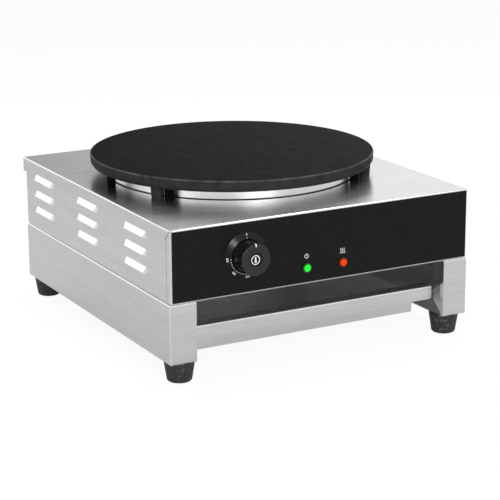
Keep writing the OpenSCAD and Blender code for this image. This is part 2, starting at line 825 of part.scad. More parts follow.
// Three-armed bar that presses both elements to the griddle
module element_clamp() {
    arm_r = element_rings[1] + 12;
    color([0.6, 0.6, 0.61]) translate([0, griddle_y, clamp_z]) difference() {
        union() {
            cylinder(r = 16, h = 4);
            for (a = [30, 150, 270]) rotate(a) translate([0, -8, 0]) cube([arm_r, 16, 4]);
        }
        translate([0, 0, -1]) cylinder(r = 4.4, h = 6);
    }
}

module clamp_bolt() {
    color([0.7, 0.7, 0.7]) translate([0, griddle_y, 0]) {
        translate([0, 0, clamp_z - 5]) hex_prism(13, 5);
        translate([0, 0, clamp_z - 0.1]) cylinder(r = 4, h = griddle_z + 7.5 - clamp_z);
    }
}

module sensor_bulb() {
    color([0.75, 0.6, 0.4]) translate([0, griddle_y, bulb_z]) at_bulb()
        translate([0, -bulb_len / 2, 0]) rod_y(bulb_r, bulb_len);
}

// Saddle that holds the bulb against the griddle
module bulb_clip() {
    wing = 12;
    color([0.65, 0.65, 0.66]) translate([0, griddle_y, griddle_z]) at_bulb() difference() {
        union() {
            block([-wing, -6, -sheet], [wing, 6, 0]);
            block([-bulb_r - 1.4, -6, -2 * bulb_r - 1.5], [bulb_r + 1.4, 6, 0]);
        }
        block([-bulb_r - 0.1, -7, -2 * bulb_r - 0.2], [bulb_r + 0.1, 7, 1]);
    }
}

// A point given along and across the griddle's radius at an angle, as a point of the part
function turned(a, r, t, z) = [r * cos(a) - t * sin(a), griddle_y + r * sin(a) + t * cos(a), z];

module capillary_tube() {
    start = turned(bulb_angle, bulb_place_r, -bulb_len / 2 - 1.4, bulb_z);
    bend = turned(bulb_angle, bulb_place_r, -bulb_len / 2 - tube_reach, bulb_z);
    under = [bend[0], bend[1], shield_floor_z - 12];
    home = [knob_x, thermostat_y + thermostat_size[1] + 1.4, knob_z];
    back = home + [0, 20, 0];
    color([0.75, 0.6, 0.4]) bent_rod([start, bend, under, [back[0], back[1], under[2]], back, home], 1.2);
}

// Bimetal cut-out that opens if the dish overheats, clipped under the dish
module overheat_cutout() {
    color([0.9, 0.88, 0.8]) translate([0, griddle_y - 60, 0]) {
        translate([0, 0, shield_floor_z - 14]) cylinder(r = 8.5, h = 14);
        for (s = [-1, 1]) translate([s * 5 - 0.4, -3, shield_floor_z - 21]) cube([0.8, 6, 7.5]);
    }
}

// ---- Controls ----

// Fixed ring round the knob with the temperature scale, a shallow cone
module dial_ring() {
    r = dial_d / 2;
    color([0.06, 0.06, 0.06]) translate([knob_x, fascia_y, knob_z]) rotate([90, 0, 0]) difference() {
        union() {
            cylinder(r = r, h = 0.8, $fn = 128);
            translate([0, 0, 0.8]) cylinder(r1 = r, r2 = knob_d / 2 + 1.2, h = dial_t - 0.8, $fn = 128);
        }
        translate([0, 0, -1]) cylinder(r = knob_d / 2 + 0.8, h = dial_t + 2, $fn = 96);
    }
}

// Fluted knob on the thermostat's shaft, turned about its axis
module knob() {
    r = knob_d / 2;
    flutes = 18;
    length = knob_base_y - knob_face_y;
    cap_r = 10.2;
    color([0.05, 0.05, 0.05]) translate([knob_x, knob_base_y, knob_z]) rotate([90, 0, 0]) difference() {
        union() {
            cylinder(r1 = r, r2 = r - 0.7, h = length - 2, $fn = 96);
            translate([0, 0, length - 2]) cylinder(r1 = r - 0.7, r2 = r - 2, h = 2, $fn = 96);
        }
        for (i = [0 : flutes - 1]) rotate((i + 0.5) * 360 / flutes) translate([r + 1.9, 0, 5])
            rotate([0, -3, 0]) cylinder(r = 2.6, h = length + 2, $fn = 24);
        translate([0, 0, length - 1.6]) cylinder(r = cap_r, h = 3);
        translate([0, 0, -1]) cylinder(r = shaft_r + 0.03, h = 15);
        translate([0, 0, -1]) difference() {
            cylinder(r = r - 3, h = 7);
            cylinder(r = shaft_r + 4, h = 8);
        }
    }
}

module knob_cap() {
    length = knob_base_y - knob_face_y;
    color([0.07, 0.07, 0.07]) translate([knob_x, knob_base_y, knob_z]) rotate([90, 0, 0])
        translate([0, 0, length - 1.6]) cylinder(r = 10.1, h = 0.9);
}

module thermostat_shaft() {
    inside_knob = 14;
    rear = thermostat_y + 9;
    color([0.7, 0.7, 0.7]) translate([knob_x, knob_base_y - inside_knob, knob_z])
        rod_y(shaft_r, inside_knob + rear - knob_base_y);
}

// Capillary thermostat behind the front panel
module thermostat() {
    size = thermostat_size;
    color([0.85, 0.83, 0.75]) translate([knob_x, thermostat_y, knob_z]) difference() {
        union() {
            translate([-size[0] / 2, 0, -size[2] / 2]) cube(size);
            for (s = [-1, 1]) translate([s * 12 - 3, size[1] - 0.1, -14]) cube([6, 9, 0.8]);
        }
        translate([0, -1, 0]) rod_y(shaft_r + 0.05, 11);
        for (s = [-1, 1]) translate([s * 14, -1, 0]) rod_y(1.95, 12);
    }
}

module thermostat_screws() {
    color([0.6, 0.6, 0.6]) at_thermostat_screws() translate([0, front_y, 0]) rotate([90, 0, 0])
        pan_screw(3.6, 1.6, 1.9, 9);
}

// Domed lens with a stub behind it
module lamp_lens(x, tint) {
    dome_h = 3.2;
    dome_r = (pow(lamp_lens_r, 2) + pow(dome_h, 2)) / (2 * dome_h);
    color(tint) translate([x, fascia_y, lamp_z]) rotate([90, 0, 0]) {
        translate([0, 0, -3]) cylinder(r = 3.9, h = 3.6);
        translate([0, 0, 0.5]) cylinder(r = lamp_lens_r, h = lamp_collar_t - 0.4);
        intersection() {
            translate([0, 0, lamp_collar_t + 0.1 + dome_h - dome_r]) sphere(dome_r);
            translate([0, 0, lamp_collar_t]) cylinder(r = lamp_lens_r + 1, h = 2 * dome_h);
        }
    }
}

// Lamp body with its collar in front of the fascia and a nut behind the panel
module lamp_body(x) {
    color([0.05, 0.05, 0.05]) translate([x, 0, lamp_z]) difference() {
        union() {
            translate([0, fascia_y - lamp_collar_t, 0]) rod_y(lamp_collar_r, lamp_collar_t);
            translate([0, fascia_y - 0.1, 0]) rod_y(lamp_hole_r - 0.15, 28);
            translate([0, front_y + sheet, 0]) rotate([-90, 0, 0]) hex_prism(14, 4);
        }
        translate([0, fascia_y - lamp_collar_t - 1, 0]) rod_y(lamp_lens_r + 0.05, lamp_collar_t + 0.5);
        translate([0, fascia_y - 1, 0]) rod_y(3.95, 4.1);
    }
}

module power_lamp_lens() { lamp_lens(lamp_places[0], [0.1, 0.95, 0.25]); }
module power_lamp_body() { lamp_body(lamp_places[0]); }
module heat_lamp_lens() { lamp_lens(lamp_places[1], [1, 0.25, 0.05]); }
module heat_lamp_body() { lamp_body(lamp_places[1]); }

// ---- Wiring ----

block_z = seam_z + 2 * sheet;
block_size = [48, 22, 18];
pole_x = [8, 24, 40];

module terminal_block() {
    color([0.93, 0.92, 0.88]) translate([gland_x - block_size[0] / 2, block_y, block_z]) difference() {
        cube(block_size);
        for (x = pole_x) {
            translate([x, block_size[1] / 2, block_size[2] - 8]) cylinder(r = 2.55, h = 9);
            translate([x, -1, 8]) rod_y(wire_r + 0.6, block_size[1] + 2);
        }
    }
}

module terminal_screws() {
    y = block_y + block_size[1] / 2;
    color([0.78, 0.65, 0.35]) for (x = pole_x)
        translate([gland_x - block_size[0] / 2 + x, y, block_z + block_size[2] - 4])
            difference() {
                cylinder(r = 2.5, h = 3);
                translate([-3, -0.4, 2]) cube([6, 0.8, 2]);
            }
}

// Centre of one pole of the terminal block, at the block's front face
function pole(i) = [gland_x - block_size[0] / 2 + pole_x[i], block_y, block_z + 8];

// End of an element's terminal, at the lower end of its leg; side is 1 on the left and -1 on the right
function leg_end(ring_r, side) =
    turned(90 + side * gap_angle(ring_r), ring_r, 0, element_leg_z - 10);

module wire_live() {
    z = seam_z + wire_loft;
    p = pole(0);
    x = knob_x + 12;
    z_tab = knob_z - 13.6;
    y_home = thermostat_y + thermostat_size[1] + 11;
    color([0.45, 0.22, 0.08]) bent_rod([p + [0, -2, 0], [p[0], block_y - 30, p[2]], [p[0], block_y - 60, z],
        [x, y_home + 20, z], [x, y_home + 12, z_tab], [x, y_home, z_tab]], wire_r);
}

module wire_neutral() {
    p = pole(1);
    e = leg_end(element_rings[1], -1) - [0, 0, wire_r + 0.1];
    color([0.1, 0.25, 0.7]) bent_rod([p + [0, -2, 0], [p[0] - 4, block_y - 24, p[2] + 2],
        [e[0] + 20, e[1] + 8, seam_z + 24], [e[0] + 2, e[1] + 1, e[2] - 9], e], wire_r);
}

module wire_element() {
    z = seam_z + wire_loft + 8;
    x = knob_x - 12;
    z_tab = knob_z - 13.6;
    e = leg_end(element_rings[1], 1) - [0, 0, wire_r + 0.1];
    y_home = thermostat_y + thermostat_size[1] + 11;
    color([0.85, 0.85, 0.82]) bent_rod([[x, y_home, z_tab], [x, y_home + 14, z_tab], [x, y_home + 24, z],
        [e[0] - 30, e[1] - 10, z], [e[0], e[1], z + 6], e], wire_r);
}

// Bridges between the inner and the outer element on each side
module wire_jumpers() {
    lift = 5;
    reach = 1.5 + wire_r + 0.1;
    color([0.85, 0.85, 0.82]) for (side = [-1, 1])
        bent_rod([
            leg_end(element_rings[0], side) + [0, reach, lift],
            leg_end(element_rings[1], side) + [0, -reach, lift]
        ], wire_r);
}

// Two leads from lamp to lamp behind the panel
module wire_lamps() {
    y_back = fascia_y + 27.9;
    color([0.5, 0.5, 0.52]) for (dz = [-2.6, 2.6])
        bent_rod([
            [lamp_places[0], y_back + 1.3, lamp_z + dz],
            [lamp_places[0] + 5, y_back + 9, lamp_z + dz - 1],
            [lamp_mid_x, y_back + 12, lamp_z + dz - 3],
            [lamp_places[1] - 5, y_back + 9, lamp_z + dz - 1],
            [lamp_places[1], y_back + 1.3, lamp_z + dz]
        ], 1.2);
}

// ---- Nodes ----

base_side_left();
base_side_right();
base_rear_panel();
runner_left();
runner_right();
foot_front_left();
foot_front_right();
foot_rear_left();
foot_rear_right();
foot_screws();
foot_nuts();
drawer_box();
drawer_front();
drawer_rivets();
housing_shell();
front_panel();
fascia();
housing_floor();
rear_panel();
frame_screws();
frame_nuts();
rear_panel_screws();
cable_gland();
gland_locknut();
griddle();
griddle_spacers();
griddle_studs();
griddle_nuts();
griddle_earth_stud();
heat_shield();
insulation_disc();
heating_element_inner();
heating_element_outer();
element_clamp();
clamp_bolt();
sensor_bulb();
bulb_clip();
capillary_tube();
overheat_cutout();
dial_ring();
knob();
knob_cap();
thermostat_shaft();
thermostat();
thermostat_screws();
power_lamp_lens();
power_lamp_body();
heat_lamp_lens();
heat_lamp_body();
terminal_block();
terminal_screws();
wire_live();
wire_neutral();
wire_element();
wire_jumpers();
wire_lamps();
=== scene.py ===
"""Looks of an electric crepe maker: finishes, controls and small parts around its fixed frame.

Lengths are in metres and angles in degrees unless a name says otherwise. +Z is up and -Y is the front.
"""

import math

import bmesh
import bpy
from bpy.props import FloatProperty, FloatVectorProperty, IntProperty, PointerProperty
from mathutils import Matrix, Vector


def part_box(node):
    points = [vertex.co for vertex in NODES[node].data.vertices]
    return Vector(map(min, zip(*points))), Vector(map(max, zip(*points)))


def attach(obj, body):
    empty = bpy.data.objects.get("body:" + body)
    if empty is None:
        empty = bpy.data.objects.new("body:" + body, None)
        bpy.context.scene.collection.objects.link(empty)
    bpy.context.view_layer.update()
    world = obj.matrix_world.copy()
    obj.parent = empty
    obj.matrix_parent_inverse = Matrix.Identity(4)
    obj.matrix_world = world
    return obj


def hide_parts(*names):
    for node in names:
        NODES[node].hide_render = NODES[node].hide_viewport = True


bl_info = {
    "name": "Crepe Maker Looks",
    "version": (1, 0, 0),
    "blender": (4, 5, 0),
    "location": "View3D > Sidebar > Crepe Maker",
    "description": "Finishes, controls and small parts of an electric crepe maker",
    "category": "Object",
}

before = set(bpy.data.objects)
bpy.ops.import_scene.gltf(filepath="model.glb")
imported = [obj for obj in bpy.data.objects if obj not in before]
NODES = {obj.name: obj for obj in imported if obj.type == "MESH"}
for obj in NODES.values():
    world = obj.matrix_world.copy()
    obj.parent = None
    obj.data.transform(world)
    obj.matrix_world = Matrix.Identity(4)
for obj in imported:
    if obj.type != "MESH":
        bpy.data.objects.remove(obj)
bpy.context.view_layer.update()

MM = 0.001
BODY, KNOB = "body", "knob"
FRONT_FACING = Matrix.Rotation(math.radians(90), 4, "X")


def box_middle(node):
    """Middle of a frame node's box."""
    low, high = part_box(node)
    return (low + high) / 2


# ---- Settings ----


class CrepeStageSettings(bpy.types.PropertyGroup):
    """Camera, lamps and floor."""

    eye: FloatVectorProperty(
        name="Eye",
        description="Place of the camera",
        default=(-1.1456, -2.1294, 0.7692),
        subtype="TRANSLATION",
        unit="LENGTH",
    )
    heading: FloatProperty(name="Heading", description="Turn from +Y towards +X, in degrees", default=28.60)
    dip: FloatProperty(name="Dip", description="Downward tilt, in degrees", default=15.62)
    roll: FloatProperty(name="Roll", description="Turn about the line of sight, in degrees", default=-0.315)
    lens: FloatProperty(
        name="Lens", description="Focal length in millimetres on a 36 mm frame", default=126.8
    )
    key_power: FloatProperty(
        name="Overhead", description="Power of the overhead soft light", default=26.0, unit="POWER"
    )
    side_power: FloatProperty(
        name="Left", description="Power of the soft light on the left", default=5.0, unit="POWER"
    )
    back_power: FloatProperty(
        name="Back", description="Power of the soft light behind on the left", default=3.6, unit="POWER"
    )
    front_power: FloatProperty(
        name="Front", description="Power of the soft light in front", default=26.0, unit="POWER"
    )
    low_power: FloatProperty(
        name="Low front", description="Power of the small low light in front", default=4.0, unit="POWER"
    )
    room_level: FloatProperty(
        name="Room", description="Brightness of the room for diffuse light", default=0.48
    )
    high_level: FloatProperty(
        name="High up", description="Share of the room's brightness high up behind, in gloss", default=0.25
    )
    strip_power: FloatProperty(
        name="Strip", description="Power of the long narrow light above", default=11.0, unit="POWER"
    )
    floor_colour: FloatVectorProperty(
        name="Floor", description="Colour of the floor", default=(0.93, 0.93, 0.93), subtype="COLOR"
    )
    floor_glow: FloatProperty(
        name="Floor white", description="Share of plain white in the floor that is seen", default=0.93
    )
    floor_mirrored: FloatProperty(
        name="Mirrored floor",
        description="Share of the floor's brightness that gloss reflects",
        default=0.28,
    )
    floor_lit: FloatProperty(
        name="Lit floor", description="Even light from the floor that gloss reflects", default=0.28
    )
    floor_lift: FloatProperty(
        name="Floor lift", description="Even light from the floor on matt surfaces", default=0.30
    )


class CrepeFinishSettings(bpy.types.PropertyGroup):
    """Colours and gloss of the metals and plastics."""

    steel: FloatVectorProperty(
        name="Steel", description="Brushed steel", default=(0.80, 0.80, 0.805), subtype="COLOR"
    )
    steel_inside: FloatVectorProperty(
        name="Inner steel",
        description="Steel of the drawer and its bay",
        default=(0.80, 0.80, 0.805),
        subtype="COLOR",
    )
    steel_rough: FloatProperty(
        name="Steel roughness", description="Roughness of brushed steel", default=0.24
    )
    iron: FloatVectorProperty(
        name="Iron", description="Seasoned cast iron", default=(0.012, 0.012, 0.0125), subtype="COLOR"
    )
    fascia: FloatVectorProperty(
        name="Fascia", description="Satin black fascia", default=(0.0065, 0.0065, 0.0065), subtype="COLOR"
    )
    plastic: FloatVectorProperty(
        name="Plastic", description="Black moulded plastic", default=(0.005, 0.005, 0.005), subtype="COLOR"
    )
    rubber: FloatVectorProperty(
        name="Rubber",
        description="Black rubber of the feet",
        default=(0.022, 0.0225, 0.023),
        subtype="COLOR",
    )
    print_white: FloatVectorProperty(
        name="Print", description="White printing", default=(0.74, 0.74, 0.74), subtype="COLOR"
    )
    lamp_green: FloatVectorProperty(
        name="Power lamp", description="Lit green lens", default=(0.03, 0.95, 0.055), subtype="COLOR"
    )
    lamp_red: FloatVectorProperty(
        name="Heat lamp", description="Lit red lens", default=(0.93, 0.058, 0.002), subtype="COLOR"
    )


class CrepeControlSettings(bpy.types.PropertyGroup):
    """The knob and its dial."""

    flutes: IntProperty(
        name="Flutes", description="Number of grip flutes round the knob", default=18, min=8, max=40
    )
    flute_depth: FloatProperty(
        name="Flute depth", description="Depth of each flute", default=0.55 * MM, unit="LENGTH"
    )
    dish: FloatProperty(
        name="Dish", description="Radius of the dish in the knob's face", default=10.2 * MM, unit="LENGTH"
    )
    lowest: IntProperty(name="Lowest", description="Lowest temperature on the dial", default=100)
    highest: IntProperty(name="Highest", description="Highest temperature on the dial", default=300)
    step: IntProperty(name="Step", description="Step between the dial's numbers", default=50)
    first_angle: FloatProperty(
        name="First angle", description="Clockwise angle of the lowest number, in degrees", default=90.0
    )
    last_angle: FloatProperty(
        name="Last angle", description="Clockwise angle of the highest number, in degrees", default=265.0
    )
    figure_size: FloatProperty(
        name="Figure size", description="Height of the dial's figures", default=4.0 * MM, unit="LENGTH"
    )
    figure_radius: FloatProperty(
        name="Figure place",
        description="Distance of the figures from the dial's axis",
        default=27.8 * MM,
        unit="LENGTH",
    )
    dot_size: FloatProperty(
        name="Dot size", description="Diameter of the dial's dots", default=1.05 * MM, unit="LENGTH"
    )
    dots_per_step: IntProperty(
        name="Dots", description="Dots from one number to the next", default=5, min=1
    )


class CrepeDetailSettings(bpy.types.PropertyGroup):
    """Small parts that repeat."""

    recess_width: FloatProperty(
        name="Recess width", description="Width of a screw's cross recess", default=0.9 * MM, unit="LENGTH"
    )
    recess_depth: FloatProperty(
        name="Recess depth", description="Depth of a screw's cross recess", default=1.3 * MM, unit="LENGTH"
    )
    bead_rise: FloatProperty(
        name="Bead rise",
        description="How far the seal stands above the deck",
        default=0.9 * MM,
        unit="LENGTH",
    )
    gland_ribs: IntProperty(
        name="Gland ribs", description="Grip ribs round the cable gland's cap", default=18, min=6
    )


# ---- Node helpers ----


def put(tree, value, socket):
    """Gives an input a link from another socket, or a plain value."""
    if isinstance(value, bpy.types.NodeSocket):
        tree.links.new(value, socket)
    else:
        socket.default_value = value


def join(tree, *pairs):
    """Links (output, input) pairs in a node tree."""
    for source, target in pairs:
        tree.links.new(source, target)


def maths(tree, operation, *values):
    """A Math node on sockets or plain numbers; returns its output."""
    node = tree.nodes.new("ShaderNodeMath")
    node.operation = operation
    for value, socket in zip(values, node.inputs):
        put(tree, value, socket)
    return node.outputs[0]


def vector_maths(tree, operation, *values):
    """A Vector Math node on sockets or plain vectors; returns a number for a length, or else a vector."""
    node = tree.nodes.new("ShaderNodeVectorMath")
    node.operation = operation
    for value, socket in zip(values, node.inputs):
        put(tree, value, socket)
    return node.outputs["Value" if operation == "LENGTH" else "Vector"]


def axes(tree, vector):
    """A vector's X, Y and Z."""
    node = tree.nodes.new("ShaderNodeSeparateXYZ")
    tree.links.new(vector, node.inputs[0])
    return node.outputs


def combined(tree, *values):
    """A vector from three sockets or plain numbers."""
    node = tree.nodes.new("ShaderNodeCombineXYZ")
    for value, socket in zip(values, node.inputs):
        put(tree, value, socket)
    return node.outputs[0]


def noise(tree, vector, scale, detail=3.0, rough=0.55):
    """A Noise Texture on a vector; returns its value."""
    node = tree.nodes.new("ShaderNodeTexNoise")
    node.inputs["Detail"].default_value = detail
    node.inputs["Roughness"].default_value = rough
    put(tree, scale, node.inputs["Scale"])
    tree.links.new(vector, node.inputs["Vector"])
    return node.outputs["Fac"]


def remap(tree, value, low, high, start=0.0, end=1.0):
    """Maps start..end to low..high, where low and high may be sockets."""
    node = tree.nodes.new("ShaderNodeMapRange")
    given = {"Value": value, "From Min": start, "From Max": end, "To Min": low, "To Max": high}
    for label, number in given.items():
        put(tree, number, node.inputs[label])
    return node.outputs["Result"]


# First of the two mixed inputs, and the output, of a Mix node by what it mixes
MIX_SOCKETS = {"FLOAT": (2, 0), "VECTOR": (4, 1), "RGBA": (6, 2)}


def mix(tree, kind, factor, one, two):
    """Mix of two numbers, vectors or colours by a mask."""
    first, result = MIX_SOCKETS[kind]
    node = tree.nodes.new("ShaderNodeMix")
    node.data_type = kind
    put(tree, factor, node.inputs["Factor"])
    put(tree, one, node.inputs[first])
    put(tree, two, node.inputs[first + 1])
    return node.outputs[result]


def object_point(tree):
    return tree.nodes.new("ShaderNodeTexCoord").outputs["Object"]


def centred(tree, centre, turn):
    """Object coordinates with a new origin, turned about X so that a pattern's axis becomes Z."""
    node = tree.nodes.new("ShaderNodeMapping")
    node.inputs["Rotation"].default_value = (math.radians(turn), 0.0, 0.0)
    tree.links.new(vector_maths(tree, "SUBTRACT", object_point(tree), centre), node.inputs["Vector"])
    return node.outputs[0]


def weighted_length(tree, point, weights):
    """Length of a vector whose axes are each multiplied by a number first."""
    return vector_maths(tree, "LENGTH", vector_maths(tree, "MULTIPLY", point, weights))


def surface_normal(tree):
    """X, Y and Z of the direction in which the surface looks."""
    return axes(tree, tree.nodes.new("ShaderNodeNewGeometry").outputs["Normal"])


def side_mask(tree, normal):
    """1 on faces that look along X, and 0 elsewhere."""
    limit = 0.7
    return maths(tree, "GREATER_THAN", maths(tree, "ABSOLUTE", normal["X"]), limit)


# ---- Shader node groups ----


def new_group(name, inputs, masks):
    """An empty shader node group, from its inputs {name: default} and the names of its masks.

    Returns the group, the sockets of its inputs and the sockets that take its masks.
    """
    group = bpy.data.node_groups.new(name, "ShaderNodeTree")
    for label, default in inputs.items():
        kind = "NodeSocketVector" if isinstance(default, tuple) else "NodeSocketFloat"
        socket = group.interface.new_socket(label, in_out="INPUT", socket_type=kind)
        socket.default_value = default
    for label in masks:
        group.interface.new_socket(label, in_out="OUTPUT", socket_type="NodeSocketFloat")
    given = group.nodes.new("NodeGroupInput").outputs
    results = group.nodes.new("NodeGroupOutput").inputs
    return group, given, results


def brushed_grain_group():
    """Fine scratches, along X on level and front faces and along Y on the sides, and a mask of the bends."""
    inputs = {"Lines": 1400.0, "Run": 12.0, "Depth": 1.0}
    group, given, results = new_group("Brushed Grain", inputs, ("Height", "Streak", "Cloud", "Bend"))
    point = object_point(group)
    normal = surface_normal(group)
    facing = [maths(group, "ABSOLUTE", part) for part in normal]
    squarest = maths(group, "MAXIMUM", maths(group, "MAXIMUM", facing[0], facing[1]), facing[2])
    stretched = []
    for along in range(2):
        scale = combined(group, *(given["Run" if axis == along else "Lines"] for axis in range(3)))
        stretched.append(vector_maths(group, "MULTIPLY", point, scale))
    grain = mix(group, "VECTOR", side_mask(group, normal), *stretched)
    fine = noise(group, grain, 1.0, 4.0, 0.65)
    broad = noise(group, vector_maths(group, "MULTIPLY", grain, (0.14, 0.14, 0.14)), 1.0, 2.0, 0.5)
    streak = maths(group, "ADD", maths(group, "MULTIPLY", fine, 0.6), maths(group, "MULTIPLY", broad, 0.4))
    # Bend takes every face that looks along no axis, bends and slanted faces alike; brushed metal paints its
    # highlight there
    join(
        group,
        (maths(group, "MULTIPLY", fine, given["Depth"]), results["Height"]),
        (streak, results["Streak"]),
        (noise(group, point, 7.0, 3.0, 0.5), results["Cloud"]),
        (remap(group, squarest, 1.0, 0.0, 0.73, 0.85), results["Bend"]),
    )
    return group


def cast_skin_group():
    """Pitted, grainy skin of cast or moulded parts."""
    inputs = {"Grain": 900.0, "Pits": 0.4}
    group, given, results = new_group("Cast Skin", inputs, ("Height", "Speck", "Patch"))
    point = object_point(group)
    grain = noise(group, point, given["Grain"], 5.0, 0.7)
    cell = group.nodes.new("ShaderNodeTexVoronoi")
    cell.feature = "F1"
    join(
        group,
        (point, cell.inputs["Vector"]),
        (maths(group, "MULTIPLY", given["Grain"], 0.7), cell.inputs["Scale"]),
    )
    pit = maths(group, "MULTIPLY", cell.outputs["Distance"], given["Pits"])
    coarse = noise(group, point, maths(group, "MULTIPLY", given["Grain"], 0.45), 2.0)
    join(
        group,
        (maths(group, "ADD", grain, pit), results["Height"]),
        (maths(group, "GREATER_THAN", coarse, 0.62), results["Speck"]),
        (noise(group, point, maths(group, "MULTIPLY", given["Grain"], 0.06), 3.0), results["Patch"]),
    )
    return group


def handling_group():
    """Faint smudges and dust that change the gloss of a smooth surface."""
    group, given, results = new_group("Handling Marks", {"Amount": 1.0}, ("Smudge", "Dust"))
    point = object_point(group)
    smear = noise(group, vector_maths(group, "MULTIPLY", point, (22.0, 22.0, 14.0)), 1.0, 4.0, 0.6)
    dust = maths(group, "GREATER_THAN", noise(group, point, 2600.0, 1.0), 0.74)
    join(
        group,
        (maths(group, "MULTIPLY", smear, given["Amount"]), results["Smudge"]),
        (maths(group, "MULTIPLY", dust, given["Amount"]), results["Dust"]),
    )
    return group


def turning_group():
    """Concentric tool marks round the Z axis of the given point."""
    inputs = {"Point": (0.0, 0.0, 0.0), "Lines": 1500.0}
    group, given, results = new_group("Turning Marks", inputs, ("Height", "Streak"))
    flat = vector_maths(group, "MULTIPLY", given["Point"], (1.0, 1.0, 0.0))
    ring = maths(group, "MULTIPLY", vector_maths(group, "LENGTH", flat), given["Lines"])
    heading = axes(group, vector_maths(group, "NORMALIZE", flat))
    line = combined(group, ring, heading["X"], heading["Y"])
    broad = vector_maths(group, "MULTIPLY", line, (0.12, 1.6, 1.6))
    join(
        group,
        (noise(group, line, 1.0, 3.0, 0.6), results["Height"]),
        (noise(group, broad, 1.0, 3.0, 0.55), results["Streak"]),
    )
    return group


GROUP_MAKERS = {
    "grain": brushed_grain_group,
    "cast": cast_skin_group,
    "handling": handling_group,
    "turning": turning_group,
}
GROUPS = {}


# ---- Materials ----


class Finish:
    """A material under construction: its tree, its Principled shader and a few shorthands."""

    def __init__(self, name, **plain):
        self.material = bpy.data.materials.new(name)
        self.material.use_nodes = True
        self.tree = self.material.node_tree
        self.shader = self.tree.nodes["Principled BSDF"]
        for label, value in plain.items():
            self.shader.inputs[label.replace("_", " ")].default_value = value

    def feed(self, **sources):
        """Links sockets to inputs of the shader."""
        for label, source in sources.items():
            self.tree.links.new(source, self.shader.inputs[label.replace("_", " ")])

    def group(self, key, **values):
        """Places a shared group, built the first time it is asked for; returns its outputs."""
        if key not in GROUPS:
            GROUPS[key] = GROUP_MAKERS[key]()
        node = self.tree.nodes.new("ShaderNodeGroup")
        node.node_tree = GROUPS[key]
        for label, value in values.items():
            put(self.tree, value, node.inputs[label])
        return node.outputs

    def tint(self, factor, one, two):
        """Colour between two plain colours or colour sockets, by a mask."""
        ends = [c if isinstance(c, bpy.types.NodeSocket) else (*c, 1.0) for c in (one, two)]
        return mix(self.tree, "RGBA", factor, *ends)

    def roughness(self, factor, low, high):
        self.feed(Roughness=remap(self.tree, factor, low, high))

    def bump(self, height, strength, distance):
        node = self.tree.nodes.new("ShaderNodeBump")
        node.inputs["Strength"].default_value = strength
        node.inputs["Distance"].default_value = distance
        self.tree.links.new(height, node.inputs["Height"])
        self.feed(Normal=node.outputs[0])


def shade(colour, factor):
    return tuple(c * factor for c in colour)


def grain_direction(tree):
    """Direction of the brushing, along Y on the sides and along X elsewhere."""
    on_side = side_mask(tree, surface_normal(tree))
    return combined(tree, maths(tree, "SUBTRACT", 1.0, on_side), on_side, 0.0)


def brushed_metal(
    name, colour, rough, lines=520.0, run=20.0, strength=0.30, contrast=0.24, painted_highlight=0.0, **plain
):
    """Brushed sheet: streaks in colour, gloss and relief, and bends and other slanted faces made rougher and
    tinted near white as a painted highlight.

    The gloss is smeared across the grain, which is why the highlight is turned a quarter round.
    """
    swing, highlight_white = 0.07, (0.96, 0.96, 0.96)
    finish = Finish(name, **{"Metallic": 1.0, "Anisotropic": 0.6, "Anisotropic_Rotation": 0.25, **plain})
    tree = finish.tree
    grain = finish.group("grain", Lines=lines, Run=run)
    steel = finish.tint(grain["Streak"], shade(colour, 1 - contrast), shade(colour, 1 + contrast))
    cloud = maths(tree, "MULTIPLY", grain["Cloud"], 0.5)
    uneven = maths(tree, "ADD", cloud, maths(tree, "MULTIPLY", grain["Streak"], 0.5))
    gloss = remap(tree, uneven, rough - swing, rough + swing)
    # Painted highlight: bends and slanted faces are tinted near white, in place of the light that their
    # curves would catch
    if painted_highlight:
        steel = finish.tint(maths(tree, "MULTIPLY", grain["Bend"], painted_highlight), steel, highlight_white)
        gloss = maths(tree, "ADD", gloss, maths(tree, "MULTIPLY", grain["Bend"], 0.3 * painted_highlight))
    finish.feed(Base_Color=steel, Roughness=gloss, Tangent=grain_direction(tree))
    finish.bump(grain["Height"], strength, 0.05 * MM)
    return finish.material


def turned_metal(name, colour, rough, centre, axis_turn, lines=1500.0, contrast=0.25):
    """Spun or turned metal with rings round an axis; axis_turn brings that axis to Z."""
    finish = Finish(name, Metallic=1.0)
    rings = finish.group("turning", Lines=lines, Point=centred(finish.tree, centre, axis_turn))
    ends = shade(colour, 1 - contrast), shade(colour, 1 + contrast)
    finish.feed(Base_Color=finish.tint(rings["Streak"], *ends))
    finish.roughness(rings["Streak"], rough - 0.05, rough + 0.05)
    finish.bump(rings["Height"], 0.12, 0.05 * MM)
    return finish.material


def cast_skin(finish, colour, rough, grain, pits, strength, speck):
    """Gives a finish grain, specks of another brightness and patches of another gloss."""
    skin = finish.group("cast", Grain=grain, Pits=pits)
    finish.feed(Base_Color=finish.tint(skin["Speck"], colour, shade(colour, speck)))
    finish.roughness(skin["Patch"], rough - 0.08, rough + 0.10)
    finish.bump(skin["Height"], strength, 0.12 * MM)


def cast_material(name, colour, rough, grain, pits, strength, speck, **plain):
    """Black posts, rubber, sealant, wool and moulded plastic."""
    finish = Finish(name, **plain)
    cast_skin(finish, colour, rough, grain, pits, strength, speck)
    return finish.material


def smooth_material(name, colour, rough, dust=1.25, **plain):
    """Smooth paint, printing, glaze and plastic with faint handling marks."""
    finish = Finish(name, **plain)
    marks = finish.group("handling")
    finish.feed(Base_Color=finish.tint(marks["Dust"], colour, shade(colour, dust)))
    finish.roughness(marks["Smudge"], rough - 0.05, rough + 0.08)
    return finish.material


